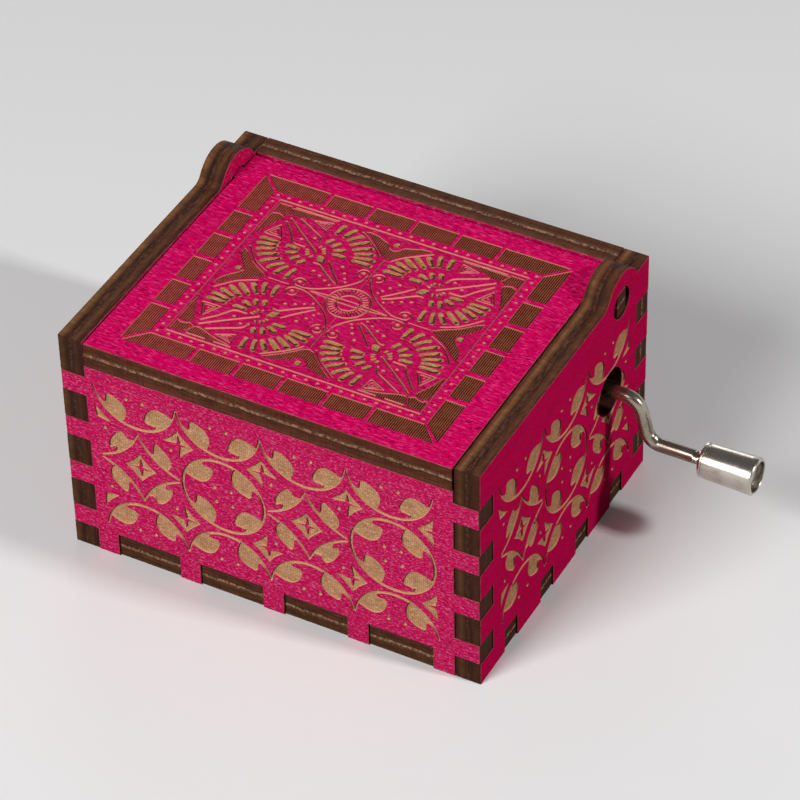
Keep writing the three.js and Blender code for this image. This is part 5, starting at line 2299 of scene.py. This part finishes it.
@dataclass
class Movement:
    """The pinned drum, comb, gears and cast frame inside the case."""

    def parts(self) -> list[tuple[str, str, str, Finish, float]]:
        """List the movement's parts.

        Returns:
            Node, body, slot, finish and rounding of each.
        """
        cast = Metal(
            "cast zinc", shine=(172, 170, 166), dull=(146, 144, 141), rough=0.44, rough_span=0.12,
            stretch=(1.5, 1.5, 1.5), relief=0.01, pits=0.16,
        )
        comb = Metal(
            "ground steel", shine=(196, 196, 195), dull=(168, 168, 168), rough=0.27, rough_span=0.1,
            stretch=(5.0, 0.4, 5.0), relief=0.0015,
        )
        plated = Metal("zinc plated steel", shine=(196, 194, 186), dull=(150, 146, 136), rough=0.28)
        steel = {"shine": (176, 175, 173), "dull": (134, 132, 130)}
        arbor = Metal("bright steel", stretch=(6.0, 0.4, 6.0), **steel)
        shaft = Metal("turned steel", rough=0.22, **steel)
        drum = Metal(
            "drum brass", shine=(214, 178, 108), dull=(190, 152, 88), rough=0.3, rough_span=0.08,
            stretch=(0.4, 2.5, 2.5), relief=0.001,
        )
        worm = Metal("worm brass", shine=(208, 170, 100), dull=(176, 138, 78), rough=0.28, relief=0.0015)
        black = Plastic("black plastic")
        white = Plastic("white nylon", body=(226, 222, 210), worn=(204, 196, 178))
        return [
            ("movement_frame", "case", "cast_zinc", cast, 0.25),
            ("comb", "case", "spring_steel", comb, 0.05),
            ("comb_screw_front", "case", "plated_steel", plated, 0.1),
            ("comb_screw_back", "case", "plated_steel", plated, 0.1),
            ("arbor_bracket", "case", "plated_steel", plated, 0.12),
            ("bracket_screw_left", "case", "plated_steel", plated, 0.1),
            ("bracket_screw_right", "case", "plated_steel", plated, 0.1),
            ("mounting_screw_back", "case", "plated_steel", plated, 0.06),
            ("mounting_screw_front", "case", "plated_steel", plated, 0.06),
            ("drum", "cylinder", "brass", drum, 0.03),
            ("drum_cap_front", "cylinder", "dark_plastic", black, 0.1),
            ("drum_cap_back", "cylinder", "dark_plastic", black, 0.1),
            ("drum_arbor", "cylinder", "spring_steel", arbor, 0.1),
            ("worm_wheel", "cylinder", "white_plastic", white, 0.05),
            ("crank_shaft", "crank", "spring_steel", shaft, 0.1),
            ("worm", "crank", "brass", worm, 0.0),
            ("shaft_clip", "crank", "spring_steel", shaft, 0.04),
        ]

    def build(self) -> None:
        """Build every part."""
        for node, body, slot, finish, rounding in self.parts():
            report(softened(node, finish, rounding), body, slot, node)


@dataclass
class Studio:
    """Camera, lamps, world and floor."""

    position: Triple = (205.86, -362.14, 376.59)
    aim: Triple = (4.643, 3.230, 18.0)
    roll: float = -1.307
    lens: float = 177.44
    floor_half: float = 1.6
    floor_drop: float = 0.00002
    floor_tone: float = 0.84
    floor_bounce: float = 0.13
    horizon: Point = (0.12, 0.42)
    wall_tone: Triple = (0.94, 0.94, 0.93)
    ceiling_tone: Triple = (0.14, 0.14, 0.14)
    fill_tone: Triple = (0.1, 0.1, 0.104)

    LAMPS: ClassVar[tuple[tuple[str, Triple, float, float], ...]] = (
        ("key lamp", (0.72, 0.055, 0.55), 0.07, 3.5),
        ("front lamp", (-0.23, -0.75, 0.6), 0.4, 8.1),
        ("back lamp", (-0.5, 0.9, 0.16), 0.5, 2.4),
    )

    def camera(self) -> None:
        """Place the camera where the photograph was taken."""
        data = bpy.data.cameras.new("camera")
        data.lens = self.lens
        data.sensor_width = 36.0
        data.clip_start = 0.01
        data.clip_end = 20.0
        eye = link("camera", data)
        eye.location = Vector(self.position) * MM
        way = Vector(self.aim) - Vector(self.position)
        turn = way.to_track_quat("-Z", "Y") @ Quaternion((0, 0, 1), math.radians(self.roll))
        eye.rotation_euler = turn.to_euler()
        bpy.context.scene.camera = eye

    def lamp(self, name: str, place: Triple, size: float, power: float) -> None:
        """Place a square soft lamp that looks at the box.

        Args:
            name: Its name.
            place: Its place in metres.
            size: Its side in metres.
            power: Its power in watts.
        """
        data = bpy.data.lights.new(name, "AREA")
        data.size = size
        data.energy = power
        lamp = link(name, data)
        lamp.location = place
        way = Vector((0, 0, 0.02)) - Vector(place)
        lamp.rotation_euler = way.to_track_quat("-Z", "Y").to_euler()

    def world(self) -> None:
        """Light from all round, with a paler background for what looks at it."""
        sky = bpy.data.worlds.new("studio")
        bpy.context.scene.world = sky
        sky.use_nodes = True
        canvas = Canvas(sky.node_tree)
        background = sky.node_tree.nodes["Background"]
        height = canvas.split(canvas.add("TexCoord").outputs["Generated"])[2]
        shade = canvas.mix(canvas.ramp(height, *self.horizon), (*self.wall_tone, 1), (*self.ceiling_tone, 1))
        canvas.feed(background.inputs["Color"], canvas.mix(canvas.seen(), (*self.fill_tone, 1), shade))

    def floor(self) -> None:
        """Lay the pale floor."""
        mesh = bpy.data.meshes.new("floor")
        signs = ((-1, -1), (1, -1), (1, 1), (-1, 1))
        corners = [(self.floor_half * x, self.floor_half * y, -self.floor_drop) for x, y in signs]
        mesh.from_pydata(corners, [], [(0, 1, 2, 3)])
        pale = bpy.data.materials.new("pale floor")
        pale.use_nodes = True
        canvas = Canvas(pale.node_tree)
        shader = pale.node_tree.nodes["Principled BSDF"].inputs
        bounce, pale_tone = ((*(3 * (share,)), 1) for share in (self.floor_bounce, self.floor_tone))
        tone = canvas.mix(canvas.seen(), bounce, pale_tone)
        canvas.feed(shader["Base Color"], tone)
        shader["Roughness"].default_value = 0.75
        shader["Specular IOR Level"].default_value = 0.2
        mesh.materials.append(pale)
        link("floor", mesh)

    def build(self) -> None:
        """Set up the whole studio."""
        bpy.context.scene.view_settings.view_transform = "Standard"
        self.camera()
        self.world()
        self.floor()
        for lamp in self.LAMPS:
            self.lamp(*lamp)


def main() -> None:
    """Build the box and its studio."""
    logging.basicConfig(level=logging.INFO, format="%(message)s")
    Studio().build()
    for assembly in (Case(), Lid(), Movement(), Crank(), Knob()):
        LOG.info("building the %s", type(assembly).__name__.lower())
        assembly.build()


if __name__ == "__main__":
    main()
